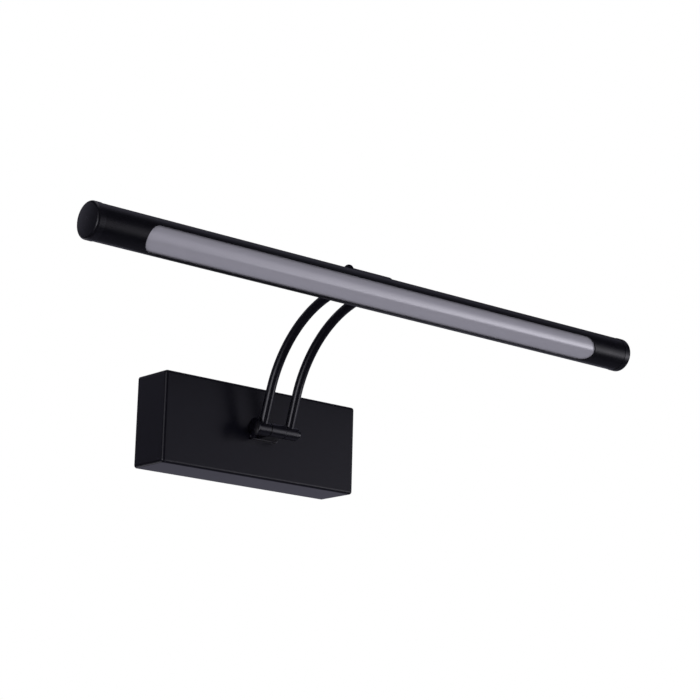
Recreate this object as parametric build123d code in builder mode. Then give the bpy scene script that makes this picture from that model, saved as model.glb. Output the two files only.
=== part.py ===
from build123d import *
import os
from math import atan2, cos, radians, sin, sqrt

# A wall-mounted picture light: a wall box, two bent tube arms on a friction
# hinge, and a slim tubular LED head on a second friction hinge.
#
# Frame: +X along the head, -Y out of the wall, +Z up. The origin is on the wall,
# at the centre of the wall box's back. All sizes are in millimetres.

# ---- wall box ----
box_width = 157.0
box_height = 60.0
box_depth = 31.0
box_wall = 1.5
box_edge_radius = 1.9

# ---- wall bracket ----
bracket_margin = 14.0  # from each end of the bracket to the box's inside
bracket_sheet = 1.5
bracket_bend = 0.9  # outside radius of the top fold
bracket_play = 0.3  # between the bracket's flanges and the box's inside
top_flange_depth = 13.0
hook_depth = 9.0  # how far the lower hook stands out from the wall
hook_drop = 2.7  # height of the hook's turned-down lip
rib_length = 16.0
rib_x = 42.0
wall_slot_spacing = 90.0
wall_slot_length = 11.0
wall_slot_width = 4.6
wall_slot_z = 13.0
cable_x = -20.0
cable_z = -2.0
cable_hole_radius = 6.0
grommet_bore_radius = 4.0
grommet_flange_radius = 8.0
grommet_flange = 1.6
grommet_rounding = 0.64
cover_screw_margin = 13.0  # from the bracket's end
earth_x = 24.0
earth_y = -5.3
earth_tag_radius = 3.8
earth_tag_thickness = 0.5
earth_tag_tail = 8.0
earth_tag_width = 2.4
earth_lead_start = 2.0  # straight run of the lead out of the tag's tail
earth_crimp = 0.1  # depth that the tag's tail grips its lead

# ---- driver and terminals ----
driver_length = 44.0
driver_height = 28.0
driver_thickness = 15.0
driver_corner = 1.5
driver_edge = 1.0
driver_outlet = 9.0  # its leads' height over the box's inside face
lamp_lead_z = [3.0, -3.0]
mains_lead_z = [-8.0, -11.0]
lead_start = 9.0  # straight run of each lead out of the driver
supply_lead_lift = 8.0  # of the highest supply lead over the hook
supply_lead_drop = [0.0, 3.0]
supply_lead_turn = 3.5  # height over the hook at which they turn up into the block
driver_margin = 12.0  # from its right ear to the box's inside
ear_length = 6.0
ear_width = 9.0
ear_thickness = 2.0
boss_height = 3.0
boss_radius = 3.0
terminal_poles = 3
terminal_pitch = 9.5
pole_gap = 2.0
pole_corner = 1.0
terminal_height = 15.0
terminal_bridge = 9.0  # height of the webs between poles
terminal_depth = 13.0
terminal_margin = 4.75  # from the bracket's left end to the block
terminal_z = -8.0
terminal_screw_length = 12.0
clamp_spacing = 7.8
clamp_radius = 1.3
clamp_well_radius = 1.9
clamp_head_ratio = 1.35
insert_depth = 5.8  # from the block's back to the middle of its inserts
insert_radius = 2.3
insert_bore_radius = 1.5
insert_recess = 0.5  # from the block's ends to an insert's ends
terminal_lead_depth = 4.5  # from the block's end to a clamped lead's end

# ---- both friction hinges ----
hinge_reach = 13.5  # from the box's face to the lower axis
knuckle_radius = 4.6
middle_knuckle = 11.3
end_knuckle = 10.6
friction_washer = 0.35
washer_play = 0.05
knuckle_edge = 0.35
chamber_inner_wall = 0.65  # round the pivot's bore
chamber_outer_wall = 1.1
middle_chamber_depth = 4.6
pivot_radius = 1.5
running_gap = 0.05
knob_lip = 1.5  # the knob's radius past the knuckle's
knob_rim = 0.9
knob_dome = 1.1
knob_edge = 0.3
spring_washer_radius = 3.7
spring_washer_thickness = 0.5
cap_nut_radius = 3.1
cap_nut_height = 2.3
cap_nut_rounding = 1.035
cap_nut_bore = 1.61  # depth of its thread
pivot_end_gap = 0.23  # from the pivot's end to the bottom of the nut

# ---- lower hinge's foot ----
foot_width = 22.6
foot_ledge = 0.7  # the foot stands out this far above and below the web
foot_thickness = 2.3
foot_corner = 2.0
foot_edge = 0.5
nipple_radius = 3.0
nipple_bore_radius = 1.8
nipple_depth_in_foot = 6.5
nipple_end = 1.2  # thread left past the nut
nipple_washer_thickness = 0.8
nipple_washer_radius = 5.8
washer_notches = 16
washer_notch = (0.9, 0.7)
washer_notch_turn = 20
nipple_nut_width = 10.0
nipple_nut_height = 3.0

# ---- arms ----
arm_seat = 4.7  # from an end knuckle's inner face to the middle of its arm
arm_radius = 3.05
arm_wall = 0.85
arm_lean = 17.5  # degrees forward of upright at the lower hinge
lower_straight = 24.5
bend_radius = 79.0
bend_angle = 56.0
upper_straight = 30.5
socket_floor = 3.4  # from a hinge axis to the tube's end

# ---- head ----
head_length = 436.0
head_radius = 11.05
head_wall = 1.05
knob_clearance = 0.55  # between the upper knob and the head
neck_angle = 44.5  # degrees above the wall direction, from the head's axis
neck_thickness = 7.0
neck_overlap = 1.2  # the neck runs this far into the tube's outline before it is hollowed to it
tenon_side_step = 0.25
tenon_step = 1.0
window_angle = 31.0  # degrees below straight out
window_width = 17.0
window_margin = 29.0  # from the window's end to the tube's end
cap_lip = 0.25  # the cap's radius past the tube's
cap_reach = 6.0
cap_edge = 1.7
cap_crown = 0.7
cap_spigot = 7.0
cap_spigot_wall = 1.3
slip_gap = 0.05
end_play = 0.2

# ---- inside the head ----
diffuser_wall = 1.1
bar_face = -2.0  # height of the bar's face along the window's direction
bar_face_thickness = 1.5
bar_channel_width = 12.0
board_margin = 3.0  # from the board's end to the window's end
board_width = 9.0
board_thickness = 1.0
led_length = 2.8
led_width = 3.5
led_height = 0.7
led_pitch = 10.0
saddle_length = 26.0
saddle_width = 6.4
saddle_thickness = 1.2
neck_lead_end = 0.6  # past the channel leads' height, where the leads turn along the channel
channel_lead_start = 12.0  # from the hinge to where the leads lie along the channel
solder_height = 0.3
channel_lead_height = 2.0  # from the channel's floor to its leads
saddle_screw_margin = 1.5  # from the tenon's side
saddle_head_ratio = 1.5
saddle_screw_bite = 2.2  # length of a saddle screw past the plate
board_screw_margin = 15.0  # from the board's end
lead_hole_margin = 25.0
lead_hole_radius = 1.8

# ---- screws and leads ----
thread_gap = 0.05
m3_radius = 1.5
m4_radius = 2.0
m25_radius = 1.25
m2_radius = 1.0
clearance_hole = 0.2  # added to a screw's radius
screw_end = 1.4  # past the tapped sheet
screw_head_height = 1.2  # this and the next four are shares of a screw's radius
screw_head_rounding = 0.54
screw_socket_radius = 0.7
screw_socket_depth = 0.72
screw_point = 0.2
screw_recess = 0.2  # from a screw's end to the far side of its hole
lead_radius = 0.5
lead_bend = 1.3
lead_spacing = 1.5
lead_end_gap = 0.15  # from a lead's end to the face of its knuckle
mains_lead_radius = 0.9
mains_lead_bend = 4.0

# ---- worked out from the sizes above ----
inner_width = box_width - 2 * box_wall
inner_height = box_height - 2 * box_wall
inner_top = inner_height / 2
inner_face_y = -box_depth + box_wall
flange_top = inner_top - bracket_play
hook_lip_bottom = -flange_top
hook_top = hook_lip_bottom + hook_drop + bracket_sheet
bracket_width = inner_width - 2 * bracket_margin
cover_screw_x = bracket_width / 2 - cover_screw_margin
screw_flange_y = -top_flange_depth / 2

pole_width = terminal_pitch - pole_gap
terminal_x = terminal_margin - bracket_width / 2 + (terminal_pitch * (terminal_poles - 1) + pole_width) / 2
pole_x = [terminal_x + terminal_pitch * (i - (terminal_poles - 1) / 2) for i in range(terminal_poles)]
terminal_screw_x = (pole_x[-1] + pole_x[-2]) / 2
terminal_front_y = -bracket_sheet - terminal_depth
insert_y = -bracket_sheet - insert_depth
clamped_end_z = terminal_z - terminal_height / 2 + terminal_lead_depth

driver_x = inner_width / 2 - driver_margin - ear_length - driver_length / 2

end_knuckle_start = middle_knuckle / 2 + friction_washer + washer_play
barrel_end = end_knuckle_start + end_knuckle
knob_radius = knuckle_radius + knob_lip
chamber_inner_radius = pivot_radius + running_gap + chamber_inner_wall
chamber_outer_radius = knuckle_radius - chamber_outer_wall
foot_height = 2 * (knuckle_radius + foot_ledge)
arm_x = end_knuckle_start + arm_seat
arm_bore_radius = arm_radius - arm_wall
neck_reach = head_radius + knob_radius + knob_clearance

axis_low = (-(box_depth + hinge_reach), 0.0)  # (y, z) of the lower hinge
lean_end = arm_lean + bend_angle
bend_start = (
    axis_low[0] - lower_straight * sin(radians(arm_lean)),
    axis_low[1] + lower_straight * cos(radians(arm_lean)),
)
bend_centre = (
    bend_start[0] - bend_radius * cos(radians(arm_lean)),
    bend_start[1] - bend_radius * sin(radians(arm_lean)),
)
bend_end = (
    bend_centre[0] + bend_radius * cos(radians(lean_end)),
    bend_centre[1] + bend_radius * sin(radians(lean_end)),
)
axis_high = (
    bend_end[0] - upper_straight * sin(radians(lean_end)),
    bend_end[1] + upper_straight * cos(radians(lean_end)),
)
head_axis = (
    axis_high[0] - neck_reach * cos(radians(neck_angle)),
    axis_high[1] - neck_reach * sin(radians(neck_angle)),
)

lead_circle = chamber_inner_radius + lead_radius + 0.1
end_chamber_depth = arm_x + arm_bore_radius - end_knuckle_start

tube_length = head_length - 2 * cap_reach
window_length = tube_length - 2 * window_margin
cap_radius = head_radius + cap_lip
tenon_width = middle_knuckle - 2 * tenon_side_step
tenon_thickness = neck_thickness - 2 * tenon_step
saddle_screw_x = tenon_width / 2 - saddle_screw_margin
board_length = window_length - 2 * board_margin
board_screw_x = board_length / 2 - board_screw_margin
lead_hole_x = lead_hole_margin - board_length / 2
tube_inner_radius = head_radius - head_wall
insert_fit_radius = tube_inner_radius - slip_gap
bar_length = tube_length - 2 * (cap_spigot + end_play)
window_normal = 180 + window_angle  # in the YZ plane, from +Y towards +Z
led_count = int((window_length - window_width) / led_pitch) + 1


def side_plane(x, centre, turn=0.0):
    """Plane square to X at x, its own x axis turned from +Y towards +Z."""
    direction = (0, cos(radians(turn)), sin(radians(turn)))
    return Plane(origin=(x, centre[0], centre[1]), x_dir=direction, z_dir=(1, 0, 0))


def span(low_a, high_a, low_b, high_b, mode=Mode.ADD):
    """Rectangle between two pairs of limits in the sketch being drawn."""
    with Locations(((low_a + high_a) / 2, (low_b + high_b) / 2)):
        Rectangle(high_a - low_a, high_b - low_b, mode=mode)


def pan_screw(radius, length, head_ratio=1.75):
    """Screw along Z: its head stands above z = 0 and its shank hangs below."""
    head_height = radius * screw_head_height
    with BuildPart() as screw:
        Cylinder(radius * head_ratio, head_height, align=(Align.CENTER, Align.CENTER, Align.MIN))
        fillet(screw.edges().group_by(Axis.Z)[-1], radius * screw_head_rounding)
        Cylinder(radius, length, align=(Align.CENTER, Align.CENTER, Align.MAX))
        chamfer(screw.edges().group_by(Axis.Z)[0], radius * screw_point)
        with BuildSketch(Plane.XY.offset(head_height)):
            RegularPolygon(radius * screw_socket_radius, 6)
        extrude(amount=-radius * screw_socket_depth, mode=Mode.SUBTRACT)
    return screw.part


def dome_rise(rim_radius, height, distance):
    """Height of a shallow dome above its rim, at a distance from its axis."""
    sphere = (rim_radius**2 + height**2) / (2 * height)
    return sqrt(sphere**2 - distance**2) - (sphere - height)


def save(piece, name):
    """Label a finished sub-part and write its STEP file."""
    piece.part.label = name
    export_step(piece.part, f"parts/{name}.step")


os.makedirs("parts", exist_ok=True)

# ======== wall bracket ========
# A folded steel channel: screwed to the wall through its slots, it carries the
# box on a hook below and two screws above.
with BuildPart() as wall_bracket:
    with BuildSketch(side_plane(-bracket_width / 2, (0, 0))):
        span(-bracket_sheet, 0, hook_top - bracket_sheet, flange_top)
        span(-top_flange_depth, 0, flange_top - bracket_sheet, flange_top)
        span(-hook_depth, 0, hook_top - bracket_sheet, hook_top)
        span(-hook_depth, -hook_depth + bracket_sheet, hook_lip_bottom, hook_top)
    extrude(amount=bracket_width)
    fillet(
        wall_bracket.edges().filter_by(Axis.X).group_by(Axis.Y)[0].group_by(Axis.Z)[-1],
        bracket_bend,
    )
    with BuildSketch(Plane.XZ):
        with Locations((-wall_slot_spacing / 2, wall_slot_z), (wall_slot_spacing / 2, wall_slot_z)):
            SlotOverall(wall_slot_length, wall_slot_width)
        with Locations((cable_x, cable_z)):
            Circle(cable_hole_radius)
        with Locations((terminal_screw_x, terminal_z)):
            Circle(m25_radius + thread_gap)
    extrude(amount=bracket_sheet, mode=Mode.SUBTRACT)
    with BuildSketch(Plane.XY.offset(flange_top)):
        with Locations(
            (-cover_screw_x, screw_flange_y), (cover_screw_x, screw_flange_y)
        ):
            Circle(m3_radius + thread_gap)
    extrude(amount=-bracket_sheet, mode=Mode.SUBTRACT)
    with BuildSketch(Plane.XY.offset(hook_top)):
        with Locations((earth_x, earth_y)):
            Circle(m4_radius + thread_gap)
    extrude(amount=-bracket_sheet, mode=Mode.SUBTRACT)
save(wall_bracket, "wall_bracket")

# ======== cable grommet ========
with BuildPart() as cable_grommet:
    with BuildSketch(Plane.XZ):
        with Locations((cable_x, cable_z)):
            Circle(cable_hole_radius)
    extrude(amount=bracket_sheet)
    with BuildSketch(Plane.XZ.offset(bracket_sheet)):
        with Locations((cable_x, cable_z)):
            Circle(grommet_flange_radius)
    extrude(amount=grommet_flange)
    fillet(cable_grommet.edges().group_by(Axis.Y)[0], grommet_rounding)
    with BuildSketch(Plane.XZ):
        with Locations((cable_x, cable_z)):
            Circle(grommet_bore_radius)
    extrude(amount=bracket_sheet + grommet_flange, mode=Mode.SUBTRACT)
save(cable_grommet, "cable_grommet")

# ======== earth screw ========
with BuildPart() as earth_screw:
    with Locations((earth_x, earth_y, hook_top + earth_tag_thickness)):
        add(pan_screw(m4_radius, earth_tag_thickness + bracket_sheet + screw_end))
save(earth_screw, "earth_screw")

# ======== terminal block ========
# Poles side by side along X. Each has a brass insert along Z, with a clamping
# screw at each end that is turned from the front.
clamp_z = [terminal_z - clamp_spacing / 2, terminal_z + clamp_spacing / 2]
with BuildPart() as terminal_block:
    with BuildSketch(Plane.XZ.offset(bracket_sheet)):
        with Locations((terminal_x, terminal_z)):
            Rectangle(pole_x[-1] - pole_x[0], terminal_bridge)
        with Locations(*[(x, terminal_z) for x in pole_x]):
            RectangleRounded(pole_width, terminal_height, pole_corner)
    extrude(amount=terminal_depth)
    with BuildSketch(Plane.XY.offset(terminal_z - terminal_height / 2)):
        with Locations(*[(x, insert_y) for x in pole_x]):
            Circle(insert_radius)
    extrude(amount=terminal_height, mode=Mode.SUBTRACT)
    with BuildSketch(Plane.XZ.offset(-terminal_front_y)):
        with Locations(*[(x, z) for x in pole_x for z in clamp_z]):
            Circle(clamp_well_radius)
    extrude(amount=-(insert_y - terminal_front_y), mode=Mode.SUBTRACT)
    with BuildSketch(Plane.XZ.offset(bracket_sheet)):
        with Locations((terminal_screw_x, terminal_z)):
            Circle(m25_radius + clearance_hole)
    extrude(amount=terminal_depth, mode=Mode.SUBTRACT)
    with BuildSketch(Plane.XZ.offset(terminal_screw_length)):
        with Locations((terminal_screw_x, terminal_z)):
            Circle(m25_radius * 2)
    extrude(amount=terminal_depth, mode=Mode.SUBTRACT)
save(terminal_block, "terminal_block")

with BuildPart() as terminal_fixing_screw:
    seat = Plane(
        origin=(terminal_screw_x, -terminal_screw_length, terminal_z), x_dir=(1, 0, 0), z_dir=(0, -1, 0)
    )
    with Locations(seat.location):
        add(pan_screw(m25_radius, terminal_screw_length - screw_recess))
save(terminal_fixing_screw, "terminal_fixing_screw")

with BuildPart() as terminal_inserts:
    with BuildSketch(Plane.XY.offset(terminal_z - terminal_height / 2 + insert_recess)):
        with Locations(*[(x, insert_y) for x in pole_x]):
            Circle(insert_radius - slip_gap)
            Circle(insert_bore_radius, mode=Mode.SUBTRACT)
    extrude(amount=terminal_height - 2 * insert_recess)
    with BuildSketch(Plane.XZ.offset(-insert_y)):
        with Locations(*[(x, z) for x in pole_x for z in clamp_z]):
            Circle(clamp_radius + thread_gap)
    extrude(amount=insert_radius, mode=Mode.SUBTRACT)
save(terminal_inserts, "terminal_inserts")

clamp_screw_head = insert_y - insert_radius
with BuildPart() as terminal_screws:
    for x in pole_x:
        for z in clamp_z:
            plane = Plane(origin=(x, clamp_screw_head, z), x_dir=(1, 0, 0), z_dir=(0, -1, 0))
            with Locations(plane.location):
                add(pan_screw(clamp_radius, insert_radius - mains_lead_radius, clamp_head_ratio))
save(terminal_screws, "terminal_screws")

# ======== box cover ========
# A five-sided shell, open at the wall. Inside: two ribs that sit behind the
# bracket's hook, and two bosses for the driver.
rib_front_y = -hook_depth + bracket_sheet + bracket_play
ear_x = [driver_x - (driver_length + ear_length) / 2, driver_x + (driver_length + ear_length) / 2]
with BuildPart() as box_cover:
    with BuildSketch(Plane.XZ):
        RectangleRounded(box_width, box_height, box_edge_radius)
    extrude(amount=box_depth)
    fillet(box_cover.faces().sort_by(Axis.Y)[0].edges(), box_edge_radius)
    with BuildSketch(Plane.XZ):
        Rectangle(inner_width, inner_height)
    extrude(amount=box_depth - box_wall, mode=Mode.SUBTRACT)
    for x in (-rib_x, rib_x):
        with BuildSketch(Plane.XY.offset(-inner_top)):
            span(x - rib_length / 2, x + rib_length / 2, rib_front_y, rib_front_y + box_wall)
        extrude(amount=hook_drop)
    with BuildSketch(Plane.XZ.offset(-inner_face_y)):
        with Locations(*[(x, 0) for x in ear_x]):
            Circle(boss_radius)
    extrude(amount=-boss_height)
    with BuildSketch(Plane.XZ.offset(-inner_face_y - boss_height)):
        with Locations(*[(x, 0) for x in ear_x]):
            Circle(m25_radius + thread_gap)
    extrude(amount=boss_height, mode=Mode.SUBTRACT)
    with BuildSketch(Plane.XY.offset(box_height / 2)):
        with Locations(
            (-cover_screw_x, screw_flange_y), (cover_screw_x, screw_flange_y)
        ):
            Circle(m3_radius + clearance_hole)
    extrude(amount=-box_wall, mode=Mode.SUBTRACT)
    with BuildSketch(Plane.XZ.offset(-inner_face_y)):
        Circle(nipple_radius + clearance_hole)
    extrude(amount=box_wall, mode=Mode.SUBTRACT)
save(box_cover, "box_cover")

with BuildPart() as cover_screws:
    with Locations(
        (-cover_screw_x, screw_flange_y, box_height / 2),
        (cover_screw_x, screw_flange_y, box_height / 2),
    ):
        add(pan_screw(m3_radius, box_wall + bracket_play + bracket_sheet + screw_end))
save(cover_screws, "cover_screws")

# ======== LED driver ========
ear_back_y = inner_face_y + boss_height
driver_back_y = inner_face_y + driver_thickness
driver_left = driver_x - driver_length / 2
driver_right = driver_x + driver_length / 2
lead_y = inner_face_y + driver_outlet
with BuildPart() as led_driver:
    with BuildSketch(Plane.XZ.offset(-inner_face_y)):
        with Locations((driver_x, 0)):
            RectangleRounded(driver_length, driver_height, driver_corner)
    extrude(amount=-driver_thickness)
    fillet(led_driver.edges().group_by(Axis.Y)[-1], driver_edge)
    with BuildSketch(Plane.XZ.offset(-ear_back_y)):
        with Locations((driver_x, 0)):
            SlotOverall(driver_length + 2 * ear_length, ear_width)
    extrude(amount=-ear_thickness)
    with BuildSketch(Plane.XZ.offset(-ear_back_y)):
        with Locations(*[(x, 0) for x in ear_x]):
            Circle(m25_radius + clearance_hole)
    extrude(amount=-ear_thickness, mode=Mode.SUBTRACT)
save(led_driver, "led_driver")

with BuildPart() as driver_screws:
    for x in ear_x:
        plane = Plane(origin=(x, ear_back_y + ear_thickness, 0), x_dir=(1, 0, 0), z_dir=(0, 1, 0))
        with Locations(plane.location):
            add(pan_screw(m25_radius, ear_thickness + boss_height - screw_recess))
save(driver_screws, "driver_screws")



# ======== leads inside the box ========
def lead(points, radius, bend):
    """Round insulated lead along straight runs joined by arcs."""
    with BuildPart() as wire:
        with BuildLine() as route:
            FilletPolyline(*points, radius=bend)
        with BuildSketch(Plane(origin=route.line @ 0, z_dir=route.line % 0)):
            Circle(radius)
        sweep(path=route.line)
    return wire.part


with BuildPart() as supply_leads:
    for x, z, drop in zip(pole_x[-2:], mains_lead_z, supply_lead_drop):
        turn_x = cable_x - grommet_flange_radius + 2 * (z - mains_lead_z[0])
        route = [
            (driver_left, lead_y, z),
            (driver_left - lead_start, lead_y, z),
            (turn_x, lead_y, hook_top + supply_lead_lift - drop),
            (x, insert_y, hook_top + supply_lead_turn),
            (x, insert_y, clamped_end_z),
        ]
        add(lead(route, mains_lead_radius, [mains_lead_bend, mains_lead_bend, mains_lead_bend / 2]))
save(supply_leads, "supply_leads")

with BuildPart() as earth_lead:
    with BuildSketch(Plane.XY.offset(hook_top)):
        with Locations((earth_x, earth_y)):
            Circle(earth_tag_radius)
        span(
            earth_x - earth_tag_tail, earth_x, earth_y - earth_tag_width / 2, earth_y + earth_tag_width / 2
        )
        with Locations((earth_x, earth_y)):
            Circle(m4_radius + clearance_hole, mode=Mode.SUBTRACT)
    extrude(amount=earth_tag_thickness)
    wire_z = hook_top + earth_tag_thickness + mains_lead_radius - earth_crimp
    route = [
        (earth_x - earth_tag_radius - 4 * earth_crimp, earth_y, wire_z),
        (earth_x - earth_tag_tail - earth_lead_start, earth_y, wire_z),
        (pole_x[0], insert_y, wire_z + earth_tag_thickness),
        (pole_x[0], insert_y, clamped_end_z),
    ]
    add(lead(route, mains_lead_radius, [mains_lead_bend, mains_lead_bend / 2]))
save(earth_lead, "earth_lead")

# Two thin leads go through the nipple, then part inside the middle knuckle.
chamber_y = axis_low[0] + lead_circle
with BuildPart() as hinge_leads:
    for side, z in zip((1, -1), lamp_lead_z):
        beside = side * lead_spacing / 2
        route = [
            (driver_left, lead_y, z),
            (driver_left - lead_start, lead_y, z),
            (0, lead_y - lead_spacing, beside),
            (0, chamber_y, beside),
            (side * (middle_knuckle / 2 - lead_end_gap), chamber_y, beside),
        ]
        add(lead(route, lead_radius, [2 * lead_bend, 2 * lead_bend, lead_bend]))
save(hinge_leads, "hinge_leads")

# ======== lower hinge: foot, web and middle knuckle in one casting ========
foot_back_y = -box_depth
foot_front_y = foot_back_y - foot_thickness
with BuildPart() as hinge_base:
    with BuildSketch(Plane.XZ.offset(-foot_back_y)):
        RectangleRounded(foot_width, foot_height, foot_corner)
    extrude(amount=foot_thickness)
    fillet(hinge_base.faces().sort_by(Axis.Y)[0].edges(), foot_edge)
    with BuildSketch(side_plane(-middle_knuckle / 2, axis_low)):
        Circle(knuckle_radius)
        span(0, foot_back_y - axis_low[0] - foot_thickness / 2, -knuckle_radius, knuckle_radius)
    extrude(amount=middle_knuckle)
    with BuildSketch(side_plane(-middle_knuckle / 2, axis_low)):
        Circle(pivot_radius + running_gap)
    extrude(amount=middle_knuckle, mode=Mode.SUBTRACT)
    for start, depth in (
        (-middle_knuckle / 2, middle_chamber_depth),
        (middle_knuckle / 2, -middle_chamber_depth),
    ):
        with BuildSketch(side_plane(start, axis_low)):
            Circle(chamber_outer_radius)
            Circle(chamber_inner_radius, mode=Mode.SUBTRACT)
        extrude(amount=depth, mode=Mode.SUBTRACT)
    with BuildSketch(Plane.XZ.offset(-foot_back_y)):
        Circle(nipple_radius + thread_gap)
    extrude(amount=nipple_depth_in_foot, mode=Mode.SUBTRACT)
    with BuildSketch(Plane.XZ.offset(-foot_back_y + nipple_depth_in_foot)):
        Circle(nipple_bore_radius)
    extrude(
        amount=hinge_reach - nipple_depth_in_foot - chamber_inner_radius, mode=Mode.SUBTRACT
    )
save(hinge_base, "hinge_base")

# ======== hollow nipple that holds the foot to the box ========
washer_back_y = inner_face_y + nipple_washer_thickness
nut_back_y = washer_back_y + nipple_nut_height
with BuildPart() as hinge_nipple:
    with BuildSketch(Plane.XZ.offset(-nut_back_y - nipple_end)):
        Circle(nipple_radius)
        Circle(nipple_bore_radius, mode=Mode.SUBTRACT)
    extrude(amount=nut_back_y + nipple_end - foot_back_y + nipple_depth_in_foot)
save(hinge_nipple, "hinge_nipple")

with BuildPart() as nipple_washer:
    with BuildSketch(Plane.XZ.offset(-inner_face_y)):
        Circle(nipple_washer_radius)
        with PolarLocations(nipple_washer_radius, washer_notches):
            Rectangle(*washer_notch, rotation=washer_notch_turn, mode=Mode.SUBTRACT)
        Circle(nipple_radius + clearance_hole, mode=Mode.SUBTRACT)
    extrude(amount=-nipple_washer_thickness)
save(nipple_washer, "nipple_washer")

with BuildPart() as nipple_nut:
    with BuildSketch(Plane.XZ.offset(-washer_back_y)):
        RegularPolygon(nipple_nut_width / 2, 6, major_radius=False)
        Circle(nipple_radius + thread_gap, mode=Mode.SUBTRACT)
    extrude(amount=-nipple_nut_height)
save(nipple_nut, "nipple_nut")


# ======== pieces that both hinges share ========
def friction_washers(centre):
    """A thin ring at each side of a hinge's middle knuckle."""
    with BuildPart() as rings:
        for x in (-middle_knuckle / 2 - friction_washer, middle_knuckle / 2):
            with BuildSketch(side_plane(x, centre)):
                Circle(knuckle_radius - knuckle_edge)
                Circle(chamber_outer_radius, mode=Mode.SUBTRACT)
            extrude(amount=friction_washer)
    return rings


def outer_knuckle(centre, side, arm_turn):
    """End knuckle of a hinge. The arm's socket points along arm_turn."""
    inner_x = side * end_knuckle_start
    with BuildPart() as knuckle:
        with BuildSketch(side_plane(inner_x, centre)):
            Circle(knuckle_radius)
        extrude(amount=side * end_knuckle)
        chamfer(knuckle.edges().filter_by(GeomType.CIRCLE), knuckle_edge)
        with BuildSketch(side_plane(inner_x, centre)):
            Circle(pivot_radius + running_gap)
        extrude(amount=side * end_knuckle, mode=Mode.SUBTRACT)
        with BuildSketch(side_plane(inner_x, centre)):
            Circle(chamber_outer_radius)
            Circle(chamber_inner_radius, mode=Mode.SUBTRACT)
        extrude(amount=side * end_chamber_depth, mode=Mode.SUBTRACT)
        along = (0, cos(radians(arm_turn)), sin(radians(arm_turn)))
        socket = Plane(origin=(side * arm_x, centre[0], centre[1]), x_dir=(1, 0, 0), z_dir=along)
        with BuildSketch(socket.offset(socket_floor)):
            Circle(arm_radius)
        extrude(amount=knuckle_radius, mode=Mode.SUBTRACT)
        with BuildSketch(socket.offset(lead_circle)):
            Circle(arm_bore_radius)
        extrude(amount=socket_floor - lead_circle, mode=Mode.SUBTRACT)
    return knuckle


def pivot_screw(centre):
    """Pivot pin with a domed knob at its -X end."""
    thread_end = barrel_end + spring_washer_thickness + cap_nut_bore - pivot_end_gap
    with BuildPart() as pivot:
        with BuildSketch(side_plane(-barrel_end, centre)):
            Circle(pivot_radius)
        extrude(amount=barrel_end + thread_end)
        with BuildSketch(Plane(origin=(0, centre[0], centre[1]), x_dir=(1, 0, 0), z_dir=(0, 0, 1))):
            rim_x = -barrel_end - knob_rim
            with BuildLine():
                Polyline(
                    (rim_x - knob_dome, 0),
                    (-barrel_end, 0),
                    (-barrel_end, knob_radius - knob_edge),
                    (-barrel_end - knob_edge, knob_radius),
                    (rim_x, knob_radius),
                )
                ThreePointArc(
                    (rim_x, knob_radius),
                    (rim_x - dome_rise(knob_radius, knob_dome, knob_radius / 2), knob_radius / 2),
                    (rim_x - knob_dome, 0),
                )
            make_face()
        revolve(axis=Axis((0, centre[0], centre[1]), (1, 0, 0)))
    return pivot


def spring_washer(centre):
    """Cupped washer between the last knuckle and the nut."""
    with BuildPart() as washer:
        with BuildSketch(side_plane(barrel_end, centre)):
            Circle(spring_washer_radius)
            Circle(pivot_radius + clearance_hole, mode=Mode.SUBTRACT)
        extrude(amount=spring_washer_thickness)
    return washer


def cap_nut(centre):
    """Domed nut on the pivot's +X end."""
    with BuildPart() as nut:
        with BuildSketch(side_plane(barrel_end + spring_washer_thickness, centre)):
            Circle(cap_nut_radius)
        extrude(amount=cap_nut_height)
        fillet(nut.edges().group_by(Axis.X)[-1], cap_nut_rounding)
        with BuildSketch(side_plane(barrel_end + spring_washer_thickness, centre)):
            Circle(pivot_radius + thread_gap)
        extrude(amount=cap_nut_bore, mode=Mode.SUBTRACT)
    return nut


for hinge, centre in (("lower", axis_low), ("upper", axis_high)):
    save(friction_washers(centre), f"{hinge}_friction_washers")
    save(pivot_screw(centre), f"{hinge}_pivot_screw")
    save(spring_washer(centre), f"{hinge}_spring_washer")
    save(cap_nut(centre), f"{hinge}_cap_nut")
    arm_turn = 90 + arm_lean if hinge == "lower" else lean_end - 90
    for side, hand in ((-1, "left"), (1, "right")):
        save(outer_knuckle(centre, side, arm_turn), f"{hinge}_knuckle_{hand}")


# ======== arms ========
def arm_path(x, end_margin):
    """Arm centreline at x, stopped end_margin short of each hinge axis."""
    lean = radians(arm_lean)
    with BuildLine(side_plane(x, (0, 0))) as path:
        first = Line(
            (axis_low[0] - end_margin * sin(lean), axis_low[1] + end_margin * cos(lean)), bend_start
        )
        bend = JernArc(start=first @ 1, tangent=first % 1, radius=bend_radius, arc_size=bend_angle)
        Line(bend @ 1, (bend @ 1) + (bend % 1) * (upper_straight - end_margin))
    return path.line


def arm_tube(x):
    """Bent tube from the lower knuckle's socket to the upper one's."""
    path = arm_path(x, socket_floor)
    with BuildPart() as tube:
        with BuildSketch(Plane(origin=path @ 0, x_dir=(1, 0, 0), z_dir=path % 0)):
            Circle(arm_radius)
            Circle(arm_bore_radius, mode=Mode.SUBTRACT)
        sweep(path=path)
    return tube


save(arm_tube(-arm_x), "arm_tube_left")
save(arm_tube(arm_x), "arm_tube_right")


# ======== leads in the arms: one conductor each, from chamber to chamber ========
def chamber_stub(side, centre, arm_turn):
    """Short bend from a knuckle's chamber into the arm."""
    section = side_plane(0, centre, arm_turn)
    corners = [
        (lead_circle, 0, side * (end_knuckle_start + lead_end_gap)),
        (lead_circle, 0, side * arm_x),
        (lead_circle + 2 * lead_bend, 0, side * arm_x),
    ]
    return lead([section.from_local_coords(corner) for corner in corners], lead_radius, lead_bend)


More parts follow.
